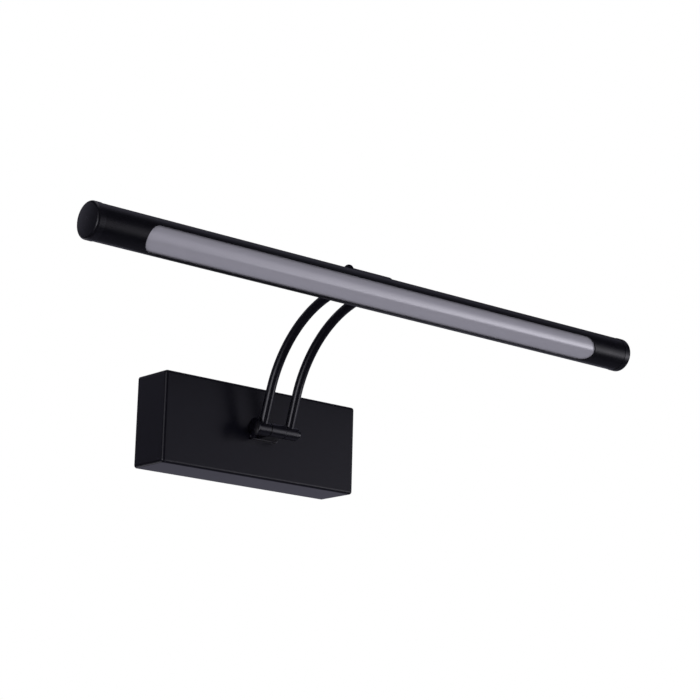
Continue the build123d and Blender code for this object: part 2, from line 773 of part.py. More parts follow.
with BuildPart() as arm_leads:
    for side in (-1, 1):
        route = arm_path(side * arm_x, lead_circle + 2 * lead_bend)
        with BuildSketch(Plane(origin=route @ 0, x_dir=(1, 0, 0), z_dir=route % 0)):
            Circle(lead_radius)
        sweep(path=route)
        add(chamber_stub(side, axis_low, 90 + arm_lean))
        add(chamber_stub(side, axis_high, lean_end - 90))
save(arm_leads, "arm_leads")

# ======== head: tube, window and rounded window ends ========
tube_half = tube_length / 2
with BuildPart() as head_tube:
    with BuildSketch(side_plane(-tube_half, head_axis)):
        Circle(head_radius)
        Circle(tube_inner_radius, mode=Mode.SUBTRACT)
    extrude(amount=tube_length)
    facing = (0, cos(radians(window_normal)), sin(radians(window_normal)))
    with BuildSketch(Plane(origin=(0, *head_axis), x_dir=(1, 0, 0), z_dir=facing)):
        SlotOverall(window_length, window_width)
    extrude(amount=head_radius, mode=Mode.SUBTRACT)
    towards_hinge = (0, cos(radians(neck_angle)), sin(radians(neck_angle)))
    with BuildSketch(Plane(origin=(0, *head_axis), x_dir=(1, 0, 0), z_dir=towards_hinge)):
        Rectangle(tenon_width + 2 * slip_gap, tenon_thickness + 2 * slip_gap)
    extrude(amount=head_radius, mode=Mode.SUBTRACT)
save(head_tube, "head_tube")

# ======== upper hinge: middle knuckle with a neck saddled on the tube ========
neck_plane = Plane(origin=(0, *head_axis), x_dir=(1, 0, 0), z_dir=towards_hinge)
neck_turn = neck_angle + 180
with BuildPart() as head_knuckle:
    with BuildSketch(side_plane(-middle_knuckle / 2, axis_high, neck_turn)):
        Circle(knuckle_radius)
        span(0, neck_reach - head_radius + neck_overlap, -neck_thickness / 2, neck_thickness / 2)
    extrude(amount=middle_knuckle)
    with BuildSketch(side_plane(-middle_knuckle / 2, head_axis)):
        Circle(head_radius)
    extrude(amount=middle_knuckle, mode=Mode.SUBTRACT)
    with BuildSketch(neck_plane.offset(tube_inner_radius)):
        Rectangle(tenon_width, tenon_thickness)
    extrude(amount=head_wall + neck_overlap)
    with BuildSketch(side_plane(-middle_knuckle / 2, axis_high)):
        Circle(pivot_radius + running_gap)
    extrude(amount=middle_knuckle, mode=Mode.SUBTRACT)
    for start, depth in (
        (-middle_knuckle / 2, middle_chamber_depth),
        (middle_knuckle / 2, -middle_chamber_depth),
    ):
        with BuildSketch(side_plane(start, axis_high)):
            Circle(chamber_outer_radius)
            Circle(chamber_inner_radius, mode=Mode.SUBTRACT)
        extrude(amount=depth, mode=Mode.SUBTRACT)
    with BuildSketch(neck_plane.offset(tube_inner_radius)):
        Circle(nipple_bore_radius)
    extrude(
        amount=neck_reach - tube_inner_radius - chamber_inner_radius, mode=Mode.SUBTRACT
    )
    with BuildSketch(neck_plane.offset(tube_inner_radius)):
        with Locations((-saddle_screw_x, 0), (saddle_screw_x, 0)):
            Circle(m2_radius + thread_gap)
    extrude(amount=saddle_screw_bite + 2 * slip_gap, mode=Mode.SUBTRACT)
save(head_knuckle, "head_knuckle")

# ======== saddle plate and its screws, inside the tube ========
saddle_seat = tube_inner_radius - slip_gap
with BuildPart() as saddle_plate:
    with BuildSketch(side_plane(-saddle_length / 2, head_axis, neck_angle)):
        Circle(saddle_seat)
        Circle(saddle_seat - saddle_thickness, mode=Mode.SUBTRACT)
        span(0, head_radius, -saddle_width / 2, saddle_width / 2, mode=Mode.INTERSECT)
    extrude(amount=saddle_length)
    with BuildSketch(neck_plane.offset(tube_inner_radius)):
        with Locations((-saddle_screw_x, 0), (saddle_screw_x, 0)):
            Circle(m2_radius + clearance_hole)
        Circle(nipple_bore_radius)
    extrude(amount=-2 * saddle_thickness, mode=Mode.SUBTRACT)
    with BuildSketch(neck_plane.offset(saddle_seat - saddle_thickness)):
        with Locations((-saddle_screw_x, 0), (saddle_screw_x, 0)):
            Circle(m2_radius * saddle_head_ratio + clearance_hole)
    extrude(amount=-saddle_thickness, mode=Mode.SUBTRACT)
save(saddle_plate, "saddle_plate")

with BuildPart() as saddle_screws:
    for x in (-saddle_screw_x, saddle_screw_x):
        foot = neck_plane.offset(saddle_seat - saddle_thickness)
        seat = Plane(origin=foot.from_local_coords((x, 0, 0)), x_dir=(1, 0, 0), z_dir=-foot.z_dir)
        with Locations(seat.location):
            add(pan_screw(m2_radius, saddle_thickness + saddle_screw_bite, saddle_head_ratio))
save(saddle_screws, "saddle_screws")

# ======== LED bar: an extruded heat sink with an open channel behind ========
with BuildPart() as led_bar:
    with BuildSketch(side_plane(-bar_length / 2, head_axis, window_normal)):
        Circle(insert_fit_radius)
        span(-head_radius, bar_face, -head_radius, head_radius, mode=Mode.INTERSECT)
        span(
            -head_radius,
            bar_face - bar_face_thickness,
            -bar_channel_width / 2,
            bar_channel_width / 2,
            mode=Mode.SUBTRACT,
        )
    extrude(amount=bar_length)
    window_plane = Plane(origin=(0, *head_axis), x_dir=(1, 0, 0), z_dir=facing)
    with BuildSketch(window_plane.offset(bar_face)):
        with Locations((-board_screw_x, 0), (board_screw_x, 0)):
            Circle(m2_radius + thread_gap)
        with Locations((lead_hole_x, 0)):
            Circle(lead_hole_radius)
    extrude(amount=-bar_face_thickness, mode=Mode.SUBTRACT)
save(led_bar, "led_bar")

# ======== LED board, LEDs and board screws ========
with BuildPart() as led_board:
    with BuildSketch(window_plane.offset(bar_face)):
        Rectangle(board_length, board_width)
        with Locations((-board_screw_x, 0), (board_screw_x, 0)):
            Circle(m2_radius + clearance_hole, mode=Mode.SUBTRACT)
        with Locations((lead_hole_x, 0)):
            Circle(lead_hole_radius, mode=Mode.SUBTRACT)
    extrude(amount=board_thickness)
save(led_board, "led_board")

led_x = [led_pitch * (i - (led_count - 1) / 2) for i in range(led_count)]
with BuildPart() as leds:
    with BuildSketch(window_plane.offset(bar_face + board_thickness)):
        for x in led_x:
            if min(abs(abs(x) - board_screw_x), abs(x - lead_hole_x)) > led_length:
                with Locations((x, 0)):
                    Rectangle(led_length, led_width)
    extrude(amount=led_height)
save(leds, "leds")

with BuildPart() as board_screws:
    for x in (-board_screw_x, board_screw_x):
        seat = window_plane.offset(bar_face + board_thickness)
        plane = Plane(origin=seat.from_local_coords((x, 0, 0)), x_dir=(1, 0, 0), z_dir=seat.z_dir)
        with Locations(plane.location):
            add(pan_screw(m2_radius, board_thickness + bar_face_thickness))
save(board_screws, "board_screws")

# ======== leads in the head: from the hinge, along the bar's channel ========
channel_depth = bar_face - bar_face_thickness - channel_lead_height
with BuildPart() as head_leads:
    neck_section = side_plane(0, head_axis, neck_angle)
    window_section = side_plane(0, head_axis, window_normal)
    for side in (-1, 1):
        beside = side * lead_spacing / 2
        chamber_height = neck_reach - lead_circle
        in_neck = [
            (chamber_height, beside, side * (middle_knuckle / 2 - lead_end_gap)),
            (chamber_height, beside, 0),
            (neck_lead_end - channel_depth, beside, 0),
        ]
        in_channel = [
            (channel_depth, -beside, -channel_lead_start),
            (channel_depth, -beside, lead_hole_x),
            (bar_face + board_thickness + solder_height, -beside, lead_hole_x),
        ]
        route = [neck_section.from_local_coords(point) for point in in_neck]
        route += [window_section.from_local_coords(point) for point in in_channel]
        add(lead(route, lead_radius, [lead_bend, 2 * lead_bend, 2 * lead_bend, lead_bend]))
save(head_leads, "head_leads")

# ======== diffuser: an opal arc that rests on the bar's face ========
with BuildPart() as diffuser:
    with BuildSketch(side_plane(-bar_length / 2, head_axis, window_normal)):
        Circle(insert_fit_radius)
        Circle(insert_fit_radius - diffuser_wall, mode=Mode.SUBTRACT)
        span(bar_face, head_radius, -head_radius, head_radius, mode=Mode.INTERSECT)
    extrude(amount=bar_length)
save(diffuser, "diffuser")


# ======== end caps ========
# In section a cap is a straight rim, a rounding, then a shallow sphere to its tip.
crown_sphere = (cap_radius**2 + cap_crown**2) / (2 * cap_crown)
crown_centre = cap_reach - crown_sphere
rounding_start = crown_centre + sqrt((crown_sphere - cap_edge) ** 2 - (cap_radius - cap_edge) ** 2)
crown_angle = atan2(cap_radius - cap_edge, rounding_start - crown_centre)
rounding_middle = (crown_angle + radians(90)) / 2


def on_crown(angle):
    """Point of the crown's sphere, as reach and radius."""
    return (crown_centre + crown_sphere * cos(angle), crown_sphere * sin(angle))


def end_cap(side):
    """Push-in cap: a hollow spigot in the tube and a rounded rim outside."""
    seat_x = side * tube_half
    profile = [
        (0, cap_radius),
        (rounding_start, cap_radius),
        (
            rounding_start + cap_edge * cos(rounding_middle),
            cap_radius - cap_edge + cap_edge * sin(rounding_middle),
        ),
        on_crown(crown_angle),
        on_crown(crown_angle / 2),
        (cap_reach, 0),
    ]
    rim, rounding, rounded, crown_edge, crown, tip = [
        (seat_x + side * reach, radius) for reach, radius in profile
    ]
    with BuildPart() as cap:
        with BuildSketch(Plane(origin=(0, *head_axis), x_dir=(1, 0, 0), z_dir=(0, 0, 1))):
            with BuildLine():
                Polyline(tip, (seat_x, 0), rim, rounding)
                ThreePointArc(rounding, rounded, crown_edge)
                ThreePointArc(crown_edge, crown, tip)
            make_face()
        revolve(axis=Axis((0, *head_axis), (1, 0, 0)))
        with BuildSketch(side_plane(seat_x, head_axis)):
            Circle(insert_fit_radius)
            Circle(insert_fit_radius - cap_spigot_wall, mode=Mode.SUBTRACT)
        extrude(amount=-side * cap_spigot)
    return cap


save(end_cap(-1), "end_cap_left")
save(end_cap(1), "end_cap_right")
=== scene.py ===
import bpy
import bmesh
import math
from mathutils import Matrix, Vector


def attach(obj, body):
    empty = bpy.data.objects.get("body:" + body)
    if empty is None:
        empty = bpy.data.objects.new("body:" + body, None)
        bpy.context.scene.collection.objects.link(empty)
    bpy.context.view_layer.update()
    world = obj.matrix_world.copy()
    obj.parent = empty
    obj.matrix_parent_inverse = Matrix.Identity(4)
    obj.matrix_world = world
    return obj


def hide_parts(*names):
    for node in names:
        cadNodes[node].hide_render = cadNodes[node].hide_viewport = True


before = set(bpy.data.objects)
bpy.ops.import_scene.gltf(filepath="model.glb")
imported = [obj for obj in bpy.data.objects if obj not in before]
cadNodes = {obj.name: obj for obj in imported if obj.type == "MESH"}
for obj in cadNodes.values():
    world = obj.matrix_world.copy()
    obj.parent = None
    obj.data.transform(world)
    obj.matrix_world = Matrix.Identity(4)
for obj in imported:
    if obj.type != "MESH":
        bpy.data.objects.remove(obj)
scene = bpy.context.scene
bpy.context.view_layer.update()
mm = 0.001
quarterTurn = math.pi / 2


# camera

cameraSet = {
    "place": (-0.804016, -1.072354, -0.270510),
    "azimuth": -40.105,  # degrees round the light, 0 looks straight at the wall
    "elevation": -14.028,
    "roll": 1.430,
    "lens": 105.362,
    "sensor": 36.0,
    "clip": (0.05, 60.0),
}


def outwardAt(azimuth, elevation):
    # unit vector from the light out to an azimuth and elevation in degrees
    azimuth = math.radians(azimuth)
    elevation = math.radians(elevation)
    return Vector((
        math.sin(azimuth) * math.cos(elevation),
        -math.cos(azimuth) * math.cos(elevation),
        math.sin(elevation),
    ))


def makeCamera(view):
    back = outwardAt(view["azimuth"], view["elevation"])
    level = (-back).cross(Vector((0, 0, 1))).normalized()
    upright = level.cross(-back)
    roll = math.radians(view["roll"])
    right = math.cos(roll) * level + math.sin(roll) * upright
    up = math.cos(roll) * upright - math.sin(roll) * level
    data = bpy.data.cameras.new("viewCamera")
    data.lens = view["lens"]
    data.sensor_width = view["sensor"]
    data.clip_start, data.clip_end = view["clip"]
    camera = bpy.data.objects.new("viewCamera", data)
    turn = Matrix((right, up, back)).transposed().to_4x4()
    camera.matrix_world = Matrix.Translation(view["place"]) @ turn
    scene.collection.objects.link(camera)
    scene.camera = camera


makeCamera(cameraSet)
scene.view_settings.view_transform = "Standard"
print("camera ready")


# small helpers for node trees

nodeSpacing = (190, -170)


def addNode(tree, kind, place=(0, 0), **settings):
    node = tree.nodes.new(kind)
    node.location = (place[0] * nodeSpacing[0], place[1] * nodeSpacing[1])
    for name, value in settings.items():
        setattr(node, name, value)
    return node


def plug(tree, source, target):
    tree.links.new(source, target)


def feed(tree, socket, value):
    # a socket takes either another socket or a plain value
    if isinstance(value, bpy.types.NodeSocket):
        plug(tree, value, socket)
    else:
        socket.default_value = value


def mathNode(tree, operation, *values):
    node = addNode(tree, "ShaderNodeMath", operation=operation)
    for socket, value in zip(node.inputs, values):
        feed(tree, socket, value)
    return node.outputs[0]


def plus(tree, first, second):
    return mathNode(tree, "ADD", first, second)


def minus(tree, first, second):
    return mathNode(tree, "SUBTRACT", first, second)


def times(tree, first, second):
    return mathNode(tree, "MULTIPLY", first, second)


def larger(tree, first, second):
    return mathNode(tree, "MAXIMUM", first, second)


def vectorNode(tree, operation, first, second):
    node = addNode(tree, "ShaderNodeVectorMath", operation=operation)
    feed(tree, node.inputs[0], first)
    feed(tree, node.inputs[1], second)
    return node.outputs[0]


def splitVector(tree, vector):
    node = addNode(tree, "ShaderNodeSeparateXYZ")
    plug(tree, vector, node.inputs[0])
    return node.outputs


def mixColours(tree, factor, first, second):
    node = addNode(tree, "ShaderNodeMix", data_type="RGBA")
    feed(tree, node.inputs[0], factor)
    feed(tree, node.inputs[6], first)  # 6, 7 and output 2 are the node's colour sockets
    feed(tree, node.inputs[7], second)
    return node.outputs[2]


def rangeNode(tree, value, fromLow, fromHigh, toLow, toHigh):
    node = addNode(tree, "ShaderNodeMapRange")
    for label, amount in (
        ("Value", value), ("From Min", fromLow), ("From Max", fromHigh),
        ("To Min", toLow), ("To Max", toHigh),
    ):
        feed(tree, node.inputs[label], amount)
    return node.outputs["Result"]


def noiseNode(tree, vector, scale, detail, roughness):
    node = addNode(tree, "ShaderNodeTexNoise")
    plug(tree, vector, node.inputs["Vector"])
    feed(tree, node.inputs["Scale"], scale)
    node.inputs["Detail"].default_value = detail
    node.inputs["Roughness"].default_value = roughness
    return node.outputs["Fac"]


# stage: floor, world and lamps

stageSet = {
    "floorHeight": -0.62,
    "floorSize": 14.0,
    "floorColour": (0.80, 0.80, 0.81, 1),
    "floorGlow": 0.34,  # what the camera and gloss see of it on top of the lamps' light
    "ambient": 0.76,  # even light from all round
    "room": 0.04,  # what gloss sees of the unlit room
    "roomTint": (0.78, 0.76, 1.0, 1),  # of its dim parts
    "paneTint": (0.93, 0.91, 1.0, 1),  # of its bright parts
    "tintLevels": (0.2, 0.9),  # where the first tint ends and the second is full
}
# soft panes that only gloss sees; azimuth and elevation as for the camera, in degrees
paneSet = {
    "keyPane": {
        "azimuth": (37.5, 46.5, 49, 71), "elevation": (-33, -28, -10, 6),
        "lean": (44, 51, 15), "level": 3.65,
    },
    "keyHaze": {"azimuth": (25, 38, 50, 72), "elevation": (-26, -2, 4, 25), "level": 0.43},
    "leftPane": {"azimuth": (-106, -88, -62, -44), "elevation": (-30, -20, 12, 34), "level": 1.1},
    "leftCore": {"azimuth": (-84, -76, -60, -52), "elevation": (-22, -16, -4, 4), "level": 5.0},
    "sideGlow": {"azimuth": (26, 37, 70, 92), "elevation": (-24, -14, 3, 15), "level": 0.60},
    "backSweep": {"azimuth": (112, 133, 175, 200), "elevation": (-30, -20, -9, 0), "level": 0.28},
    "underGlow": {"azimuth": (50, 90, 150, 180), "elevation": (-76, -60, -40, -28), "level": 0.12},
    "farGlow": {"azimuth": (-190, -172, -156, -134), "elevation": (3, 18, 26, 36), "level": 0.36},
    "ceiling": {"azimuth": (60, 100, 190, 200), "elevation": (34, 48, 95, 99), "level": 0.22},
    "overhead": {"azimuth": (-200, -190, 190, 200), "elevation": (60, 76, 95, 99), "level": 0.8},
    "behindRight": {"azimuth": (158, 170, 190, 200), "elevation": (-52, -40, -8, 8), "level": 0.8},
    "behindLeft": {
        "azimuth": (-200, -190, -170, -160), "elevation": (-52, -40, -8, 8), "level": 0.8,
    },
    "farRight": {"azimuth": (86, 98, 108, 120), "elevation": (-26, -14, 16, 30), "level": 0.22},
}


def paneMask(tree, azimuth, elevation, pane):
    # rises between the first two bounds and falls between the last two
    lifted = elevation
    if "lean" in pane:  # its lower edge rises by this much from one azimuth to the next
        leanStart, leanEnd, leanRise = [math.radians(value) for value in pane["lean"]]
        lift = rangeNode(tree, azimuth, leanStart, leanEnd, 0.0, leanRise)
        lifted = minus(tree, elevation, lift)
    edges = []
    for rising, falling, bounds in (
        (azimuth, azimuth, pane["azimuth"]),
        (lifted, elevation, pane["elevation"]),
    ):
        riseStart, riseEnd, fallStart, fallEnd = [math.radians(value) for value in bounds]
        edges.append(rangeNode(tree, rising, riseStart, riseEnd, 0.0, 1.0))
        edges.append(rangeNode(tree, falling, fallStart, fallEnd, 1.0, 0.0))
    mask = edges[0]
    for edge in edges[1:]:
        mask = times(tree, mask, edge)
    return times(tree, mask, pane["level"])


def glossRays(tree, path):
    return larger(tree, path.outputs["Is Glossy Ray"], path.outputs["Is Transmission Ray"])


def makeWorld(settings, panes):
    world = bpy.data.worlds.new("studioRoom")
    world.use_nodes = True
    tree = world.node_tree
    tree.nodes.clear()
    path = addNode(tree, "ShaderNodeLightPath")
    place = addNode(tree, "ShaderNodeTexCoord")
    outward = splitVector(tree, place.outputs["Generated"])
    azimuth = mathNode(tree, "ARCTAN2", outward["X"], times(tree, outward["Y"], -1.0))
    elevation = mathNode(tree, "ARCSINE", outward["Z"])
    seen = settings["room"]
    for pane in panes.values():
        seen = plus(tree, paneMask(tree, azimuth, elevation, pane), seen)
    gloss = glossRays(tree, path)
    plain = times(tree, minus(tree, 1.0, gloss), settings["ambient"])
    unseen = plus(tree, times(tree, gloss, seen), plain)
    strength = larger(tree, path.outputs["Is Camera Ray"], unseen)
    tintShare = rangeNode(tree, seen, *settings["tintLevels"], 0.0, 1.0)
    glossTint = mixColours(tree, tintShare, settings["roomTint"], settings["paneTint"])
    background = addNode(tree, "ShaderNodeBackground")
    plug(tree, mixColours(tree, gloss, (1, 1, 1, 1), glossTint), background.inputs["Color"])
    plug(tree, strength, background.inputs["Strength"])
    output = addNode(tree, "ShaderNodeOutputWorld")
    plug(tree, background.outputs[0], output.inputs["Surface"])
    world.cycles.sampling_method = "NONE"  # its light goes by kind of ray, so it is not sampled
    scene.world = world


def makeFloor(settings):
    side = settings["floorSize"] / 2
    corners = [(-side, -side), (side, -side), (side, side), (-side, side)]
    mesh = bpy.data.meshes.new("paleFloor")
    mesh.from_pydata([(x, y, settings["floorHeight"]) for x, y in corners], [], [(0, 1, 2, 3)])
    floor = bpy.data.objects.new("paleFloor", mesh)
    scene.collection.objects.link(floor)
    floor.visible_glossy = False
    material = bpy.data.materials.new("paleFloor")
    material.use_nodes = True
    tree = material.node_tree
    tree.nodes.clear()
    path = addNode(tree, "ShaderNodeLightPath")
    diffuse = addNode(tree, "ShaderNodeBsdfDiffuse")
    diffuse.inputs["Color"].default_value = settings["floorColour"]
    rays = larger(tree, path.outputs["Is Camera Ray"], glossRays(tree, path))
    glow = addNode(tree, "ShaderNodeEmission")
    plug(tree, times(tree, rays, settings["floorGlow"]), glow.inputs["Strength"])
    both = addNode(tree, "ShaderNodeAddShader")
    plug(tree, diffuse.outputs[0], both.inputs[0])
    plug(tree, glow.outputs[0], both.inputs[1])
    output = addNode(tree, "ShaderNodeOutputMaterial")
    plug(tree, both.outputs[0], output.inputs["Surface"])
    mesh.materials.append(material)


# lamps for the plain light; distance and size in metres
lampSet = {
    "frontSoftbox": {
        "azimuth": 0, "elevation": -26, "distance": 1.6, "size": (1.5, 0.9), "power": 17.5,
    },
    "topSoftbox": {
        "azimuth": 160, "elevation": 64, "distance": 1.9, "size": (1.6, 1.2), "power": 23.0,
    },
}
lampAim = Vector((0.0, -0.09, 0.03))


def makeLamp(name, settings):
    outward = outwardAt(settings["azimuth"], settings["elevation"])
    data = bpy.data.lights.new(name, "AREA")
    data.shape = "RECTANGLE"
    data.size, data.size_y = settings["size"]
    data.energy = settings["power"]
    lamp = bpy.data.objects.new(name, data)
    lamp.location = lampAim + outward * settings["distance"]
    lamp.rotation_euler = outward.to_track_quat("Z", "Y").to_euler()
    lamp.visible_camera = False
    lamp.visible_glossy = False  # gloss sees the panes instead
    scene.collection.objects.link(lamp)


makeWorld(stageSet, paneSet)
makeFloor(stageSet)
for lampName, lampValues in lampSet.items():
    makeLamp(lampName, lampValues)
print("stage ready")


# skins: shader groups shared by the finishes

floatSocket, colourSocket, vectorSocket = "NodeSocketFloat", "NodeSocketColor", "NodeSocketVector"
noiseCore = (0.3, 0.7)  # levels that most of a noise lies between
noiseSpan = (0.2, 0.8)  # and nearly all of it


def newSkin(name, ownInputs):
    # each skin takes a place, a colour and a roughness, and gives colour, roughness and height
    group = bpy.data.node_groups.new(name, "ShaderNodeTree")
    colours = [("Colour", colourSocket), ("Roughness", floatSocket)]
    for label, kind in [("Vector", vectorSocket)] + colours + ownInputs:
        group.interface.new_socket(label, in_out="INPUT", socket_type=kind)
    for label, kind in colours + [("Height", floatSocket)]:
        group.interface.new_socket(label, in_out="OUTPUT", socket_type=kind)
    entry = addNode(group, "NodeGroupInput", (-4, 0))
    leave = addNode(group, "NodeGroupOutput", (6, 0))
    return group, entry.outputs, leave.inputs


def eitherWay(group, noise, amount):
    # the noise as a change up or down by this much
    return rangeNode(group, noise, *noiseSpan, -amount, amount)


def shadeBy(group, noise, colour, share):
    # darker by this share where the noise is low
    darker = mixColours(group, share, colour, (0.0, 0.0, 0.0, 1))
    return mixColours(group, rangeNode(group, noise, *noiseCore, 0.0, 1.0), darker, colour)


# sprayed powder: tiny peel, slow drift of gloss, a few settled specks
powderSet = {
    "driftScale": 38.0,
    "fadeLevels": (0.05, 0.95),
    "fade": 0.08,  # share of the paler colour that drifts with the gloss
    "paler": (0.03, 0.03, 0.034, 1),
    "palerShare": 0.35,
    "speckScale": 900.0,
    "speckLevels": (0.70, 0.80),  # where a speck starts and is full
    "speckRoughness": 0.06,
    "speckShare": 0.25,
}


def makePowderGroup(settings):
    group, given, result = newSkin("powderSkin", [
        ("Peel Scale", floatSocket), ("Drift", floatSocket),
    ])
    peel = noiseNode(group, given["Vector"], given["Peel Scale"], detail=3.0, roughness=0.55)
    slow = noiseNode(group, given["Vector"], settings["driftScale"], detail=3.0, roughness=0.6)
    speck = noiseNode(group, given["Vector"], settings["speckScale"], detail=1.0, roughness=0.4)
    settled = rangeNode(group, speck, *settings["speckLevels"], 0.0, 1.0)
    drift = times(group, minus(group, slow, 0.5), given["Drift"])
    rough = plus(group, given["Roughness"], drift)
    dusty = times(group, settled, settings["speckRoughness"])
    plug(group, plus(group, rough, dusty), result["Roughness"])
    paler = mixColours(group, settings["palerShare"], given["Colour"], settings["paler"])
    fade = rangeNode(group, slow, *settings["fadeLevels"], 0.0, settings["fade"])
    faded = mixColours(group, fade, given["Colour"], paler)
    specked = mixColours(group, times(group, settled, settings["speckShare"]), faded, paler)
    plug(group, specked, result["Colour"])
    plug(group, peel, result["Height"])
    return group


# fine lines drawn along one axis, for extruded, turned and rolled metal
drawnSet = {
    "patchScale": 90.0,
    "lineRoughness": 0.05,  # how far the lines move the roughness, either way
    "patchRoughness": 0.03,
}


def makeDrawnGroup(settings):
    group, given, result = newSkin("drawnLines", [
        ("Stretch", vectorSocket), ("Contrast", floatSocket),
    ])
    scaled = vectorNode(group, "MULTIPLY", given["Vector"], given["Stretch"])
    lines = noiseNode(group, scaled, 1.0, detail=3.0, roughness=0.6)
    patches = noiseNode(group, given["Vector"], settings["patchScale"], detail=2.0, roughness=0.5)
    plug(group, shadeBy(group, lines, given["Colour"], given["Contrast"]), result["Colour"])
    spread = eitherWay(group, lines, settings["lineRoughness"])
    cloud = eitherWay(group, patches, settings["patchRoughness"])
    plug(group, plus(group, given["Roughness"], plus(group, spread, cloud)), result["Roughness"])
    plug(group, lines, result["Height"])
    return group


# moulded plastic: fine spark grain, faint flow clouds
mouldSet = {
    "flowScale": 60.0,
    "grainRoughness": 0.04,  # how far the grain moves the roughness, either way
}


def makeMouldGroup(settings):
    group, given, result = newSkin("mouldGrain", [
        ("Grain Scale", floatSocket), ("Cloud", floatSocket),
    ])
    grain = noiseNode(group, given["Vector"], given["Grain Scale"], detail=2.0, roughness=0.5)
    flow = noiseNode(group, given["Vector"], settings["flowScale"], detail=2.0, roughness=0.5)
    plug(group, shadeBy(group, flow, given["Colour"], given["Cloud"]), result["Colour"])
    spread = eitherWay(group, grain, settings["grainRoughness"])
    plug(group, plus(group, given["Roughness"], spread), result["Roughness"])
    plug(group, grain, result["Height"])
    return group


powderSkin = makePowderGroup(powderSet)
drawnLines = makeDrawnGroup(drawnSet)
mouldGrain = makeMouldGroup(mouldSet)


# finishes: what the skin takes, then the bump's strength and depth, then the shader's own sockets

def makeFinish(name, skin, skinValues, bump, shader):
    material = bpy.data.materials.new(name)
    material.use_nodes = True
    tree = material.node_tree
    principled = next(n for n in tree.nodes if n.type == "BSDF_PRINCIPLED")
    place = addNode(tree, "ShaderNodeTexCoord", (-6, 0))
    skinNode = addNode(tree, "ShaderNodeGroup", (-4, 0), node_tree=skin)
    plug(tree, place.outputs["Object"], skinNode.inputs["Vector"])
    for label, value in skinValues.items():
        skinNode.inputs[label].default_value = value
    plug(tree, skinNode.outputs["Colour"], principled.inputs["Base Color"])
    plug(tree, skinNode.outputs["Roughness"], principled.inputs["Roughness"])
    bumpNode = addNode(tree, "ShaderNodeBump", (-2, 2))
    bumpNode.inputs["Strength"].default_value, bumpNode.inputs["Distance"].default_value = bump
    plug(tree, skinNode.outputs["Height"], bumpNode.inputs["Height"])
    plug(tree, bumpNode.outputs[0], principled.inputs["Normal"])
    for label, value in shader.items():
        principled.inputs[label].default_value = value
    return material


satinPaint = makeFinish(
    "satinPaint", powderSkin,
    {"Colour": (0.0024, 0.0022, 0.0048, 1), "Roughness": 0.29, "Peel Scale": 700.0, "Drift": 0.03},
    (0.12, 0.06 * mm), {"Specular IOR Level": 0.34},
)
capPaint = makeFinish(
    "capPaint", powderSkin,
    {"Colour": (0.0025, 0.0023, 0.0042, 1), "Roughness": 0.29, "Peel Scale": 800.0, "Drift": 0.03},
    (0.10, 0.05 * mm), {"Specular IOR Level": 0.34},
)
hingeBlack = makeFinish(
    "hingeBlack", powderSkin,
    {"Colour": (0.0024, 0.0022, 0.0046, 1), "Roughness": 0.285,
     "Peel Scale": 700.0, "Drift": 0.02},
    (0.10, 0.05 * mm), {"Specular IOR Level": 0.5},
)
anodisedBlack = makeFinish(
    "anodisedBlack", drawnLines,
    {"Colour": (0.0025, 0.0023, 0.0042, 1), "Roughness": 0.305,
     "Contrast": 0.25, "Stretch": (25.0, 1500.0, 1500.0)},
    (0.06, 0.04 * mm), {"Specular IOR Level": 0.26},
)
blackOxide = makeFinish(
    "blackOxide", drawnLines,
    {"Colour": (0.0030, 0.0028, 0.0046, 1), "Roughness": 0.20,
     "Contrast": 0.3, "Stretch": (2200.0, 300.0, 300.0)},
    (0.08, 0.04 * mm), {"Specular IOR Level": 0.7},
)
polishedBlack = makeFinish(
    "polishedBlack", drawnLines,
    {"Colour": (0.0024, 0.0022, 0.0042, 1), "Roughness": 0.11,
     "Contrast": 0.3, "Stretch": (2200.0, 300.0, 300.0)},
    (0.03, 0.03 * mm), {"Specular IOR Level": 0.6},
)
zincPlate = makeFinish(
    "zincPlate", drawnLines,
    {"Colour": (0.60, 0.60, 0.57, 1), "Roughness": 0.34,
     "Contrast": 0.25, "Stretch": (18.0, 700.0, 700.0)},
    (0.08, 0.05 * mm), {"Metallic": 1.0},
)
rawAluminium = makeFinish(
    "rawAluminium", drawnLines,
    {"Colour": (0.66, 0.67, 0.68, 1), "Roughness": 0.38,
     "Contrast": 0.2, "Stretch": (12.0, 1600.0, 1600.0)},
    (0.10, 0.05 * mm), {"Metallic": 1.0},
)
turnedBrass = makeFinish(
    "turnedBrass", drawnLines,
    {"Colour": (0.72, 0.54, 0.25, 1), "Roughness": 0.28,
     "Contrast": 0.25, "Stretch": (400.0, 400.0, 2400.0)},
    (0.10, 0.04 * mm), {"Metallic": 1.0},
)
naturalNylon = makeFinish(
    "naturalNylon", mouldGrain,
    {"Colour": (0.78, 0.76, 0.69, 1), "Roughness": 0.45, "Grain Scale": 2600.0, "Cloud": 0.10},
    (0.15, 0.06 * mm), {"Subsurface Weight": 0.15, "Subsurface Scale": 2.0 * mm},
)
whiteCase = makeFinish(
    "whiteCase", mouldGrain,
    {"Colour": (0.80, 0.80, 0.78, 1), "Roughness": 0.48, "Grain Scale": 2200.0, "Cloud": 0.06},
    (0.25, 0.08 * mm), {},
)
darkFibre = makeFinish(
    "darkFibre", mouldGrain,
    {"Colour": (0.006, 0.0055, 0.007, 1), "Roughness": 0.80, "Grain Scale": 1800.0, "Cloud": 0.25},
    (0.35, 0.08 * mm), {"Specular IOR Level": 0.2},
)
boardLacquer = makeFinish(
    "boardLacquer", mouldGrain,
    {"Colour": (0.82, 0.83, 0.81, 1), "Roughness": 0.28, "Grain Scale": 3000.0, "Cloud": 0.05},
    (0.08, 0.03 * mm), {"Coat Weight": 0.3, "Coat Roughness": 0.15},
)
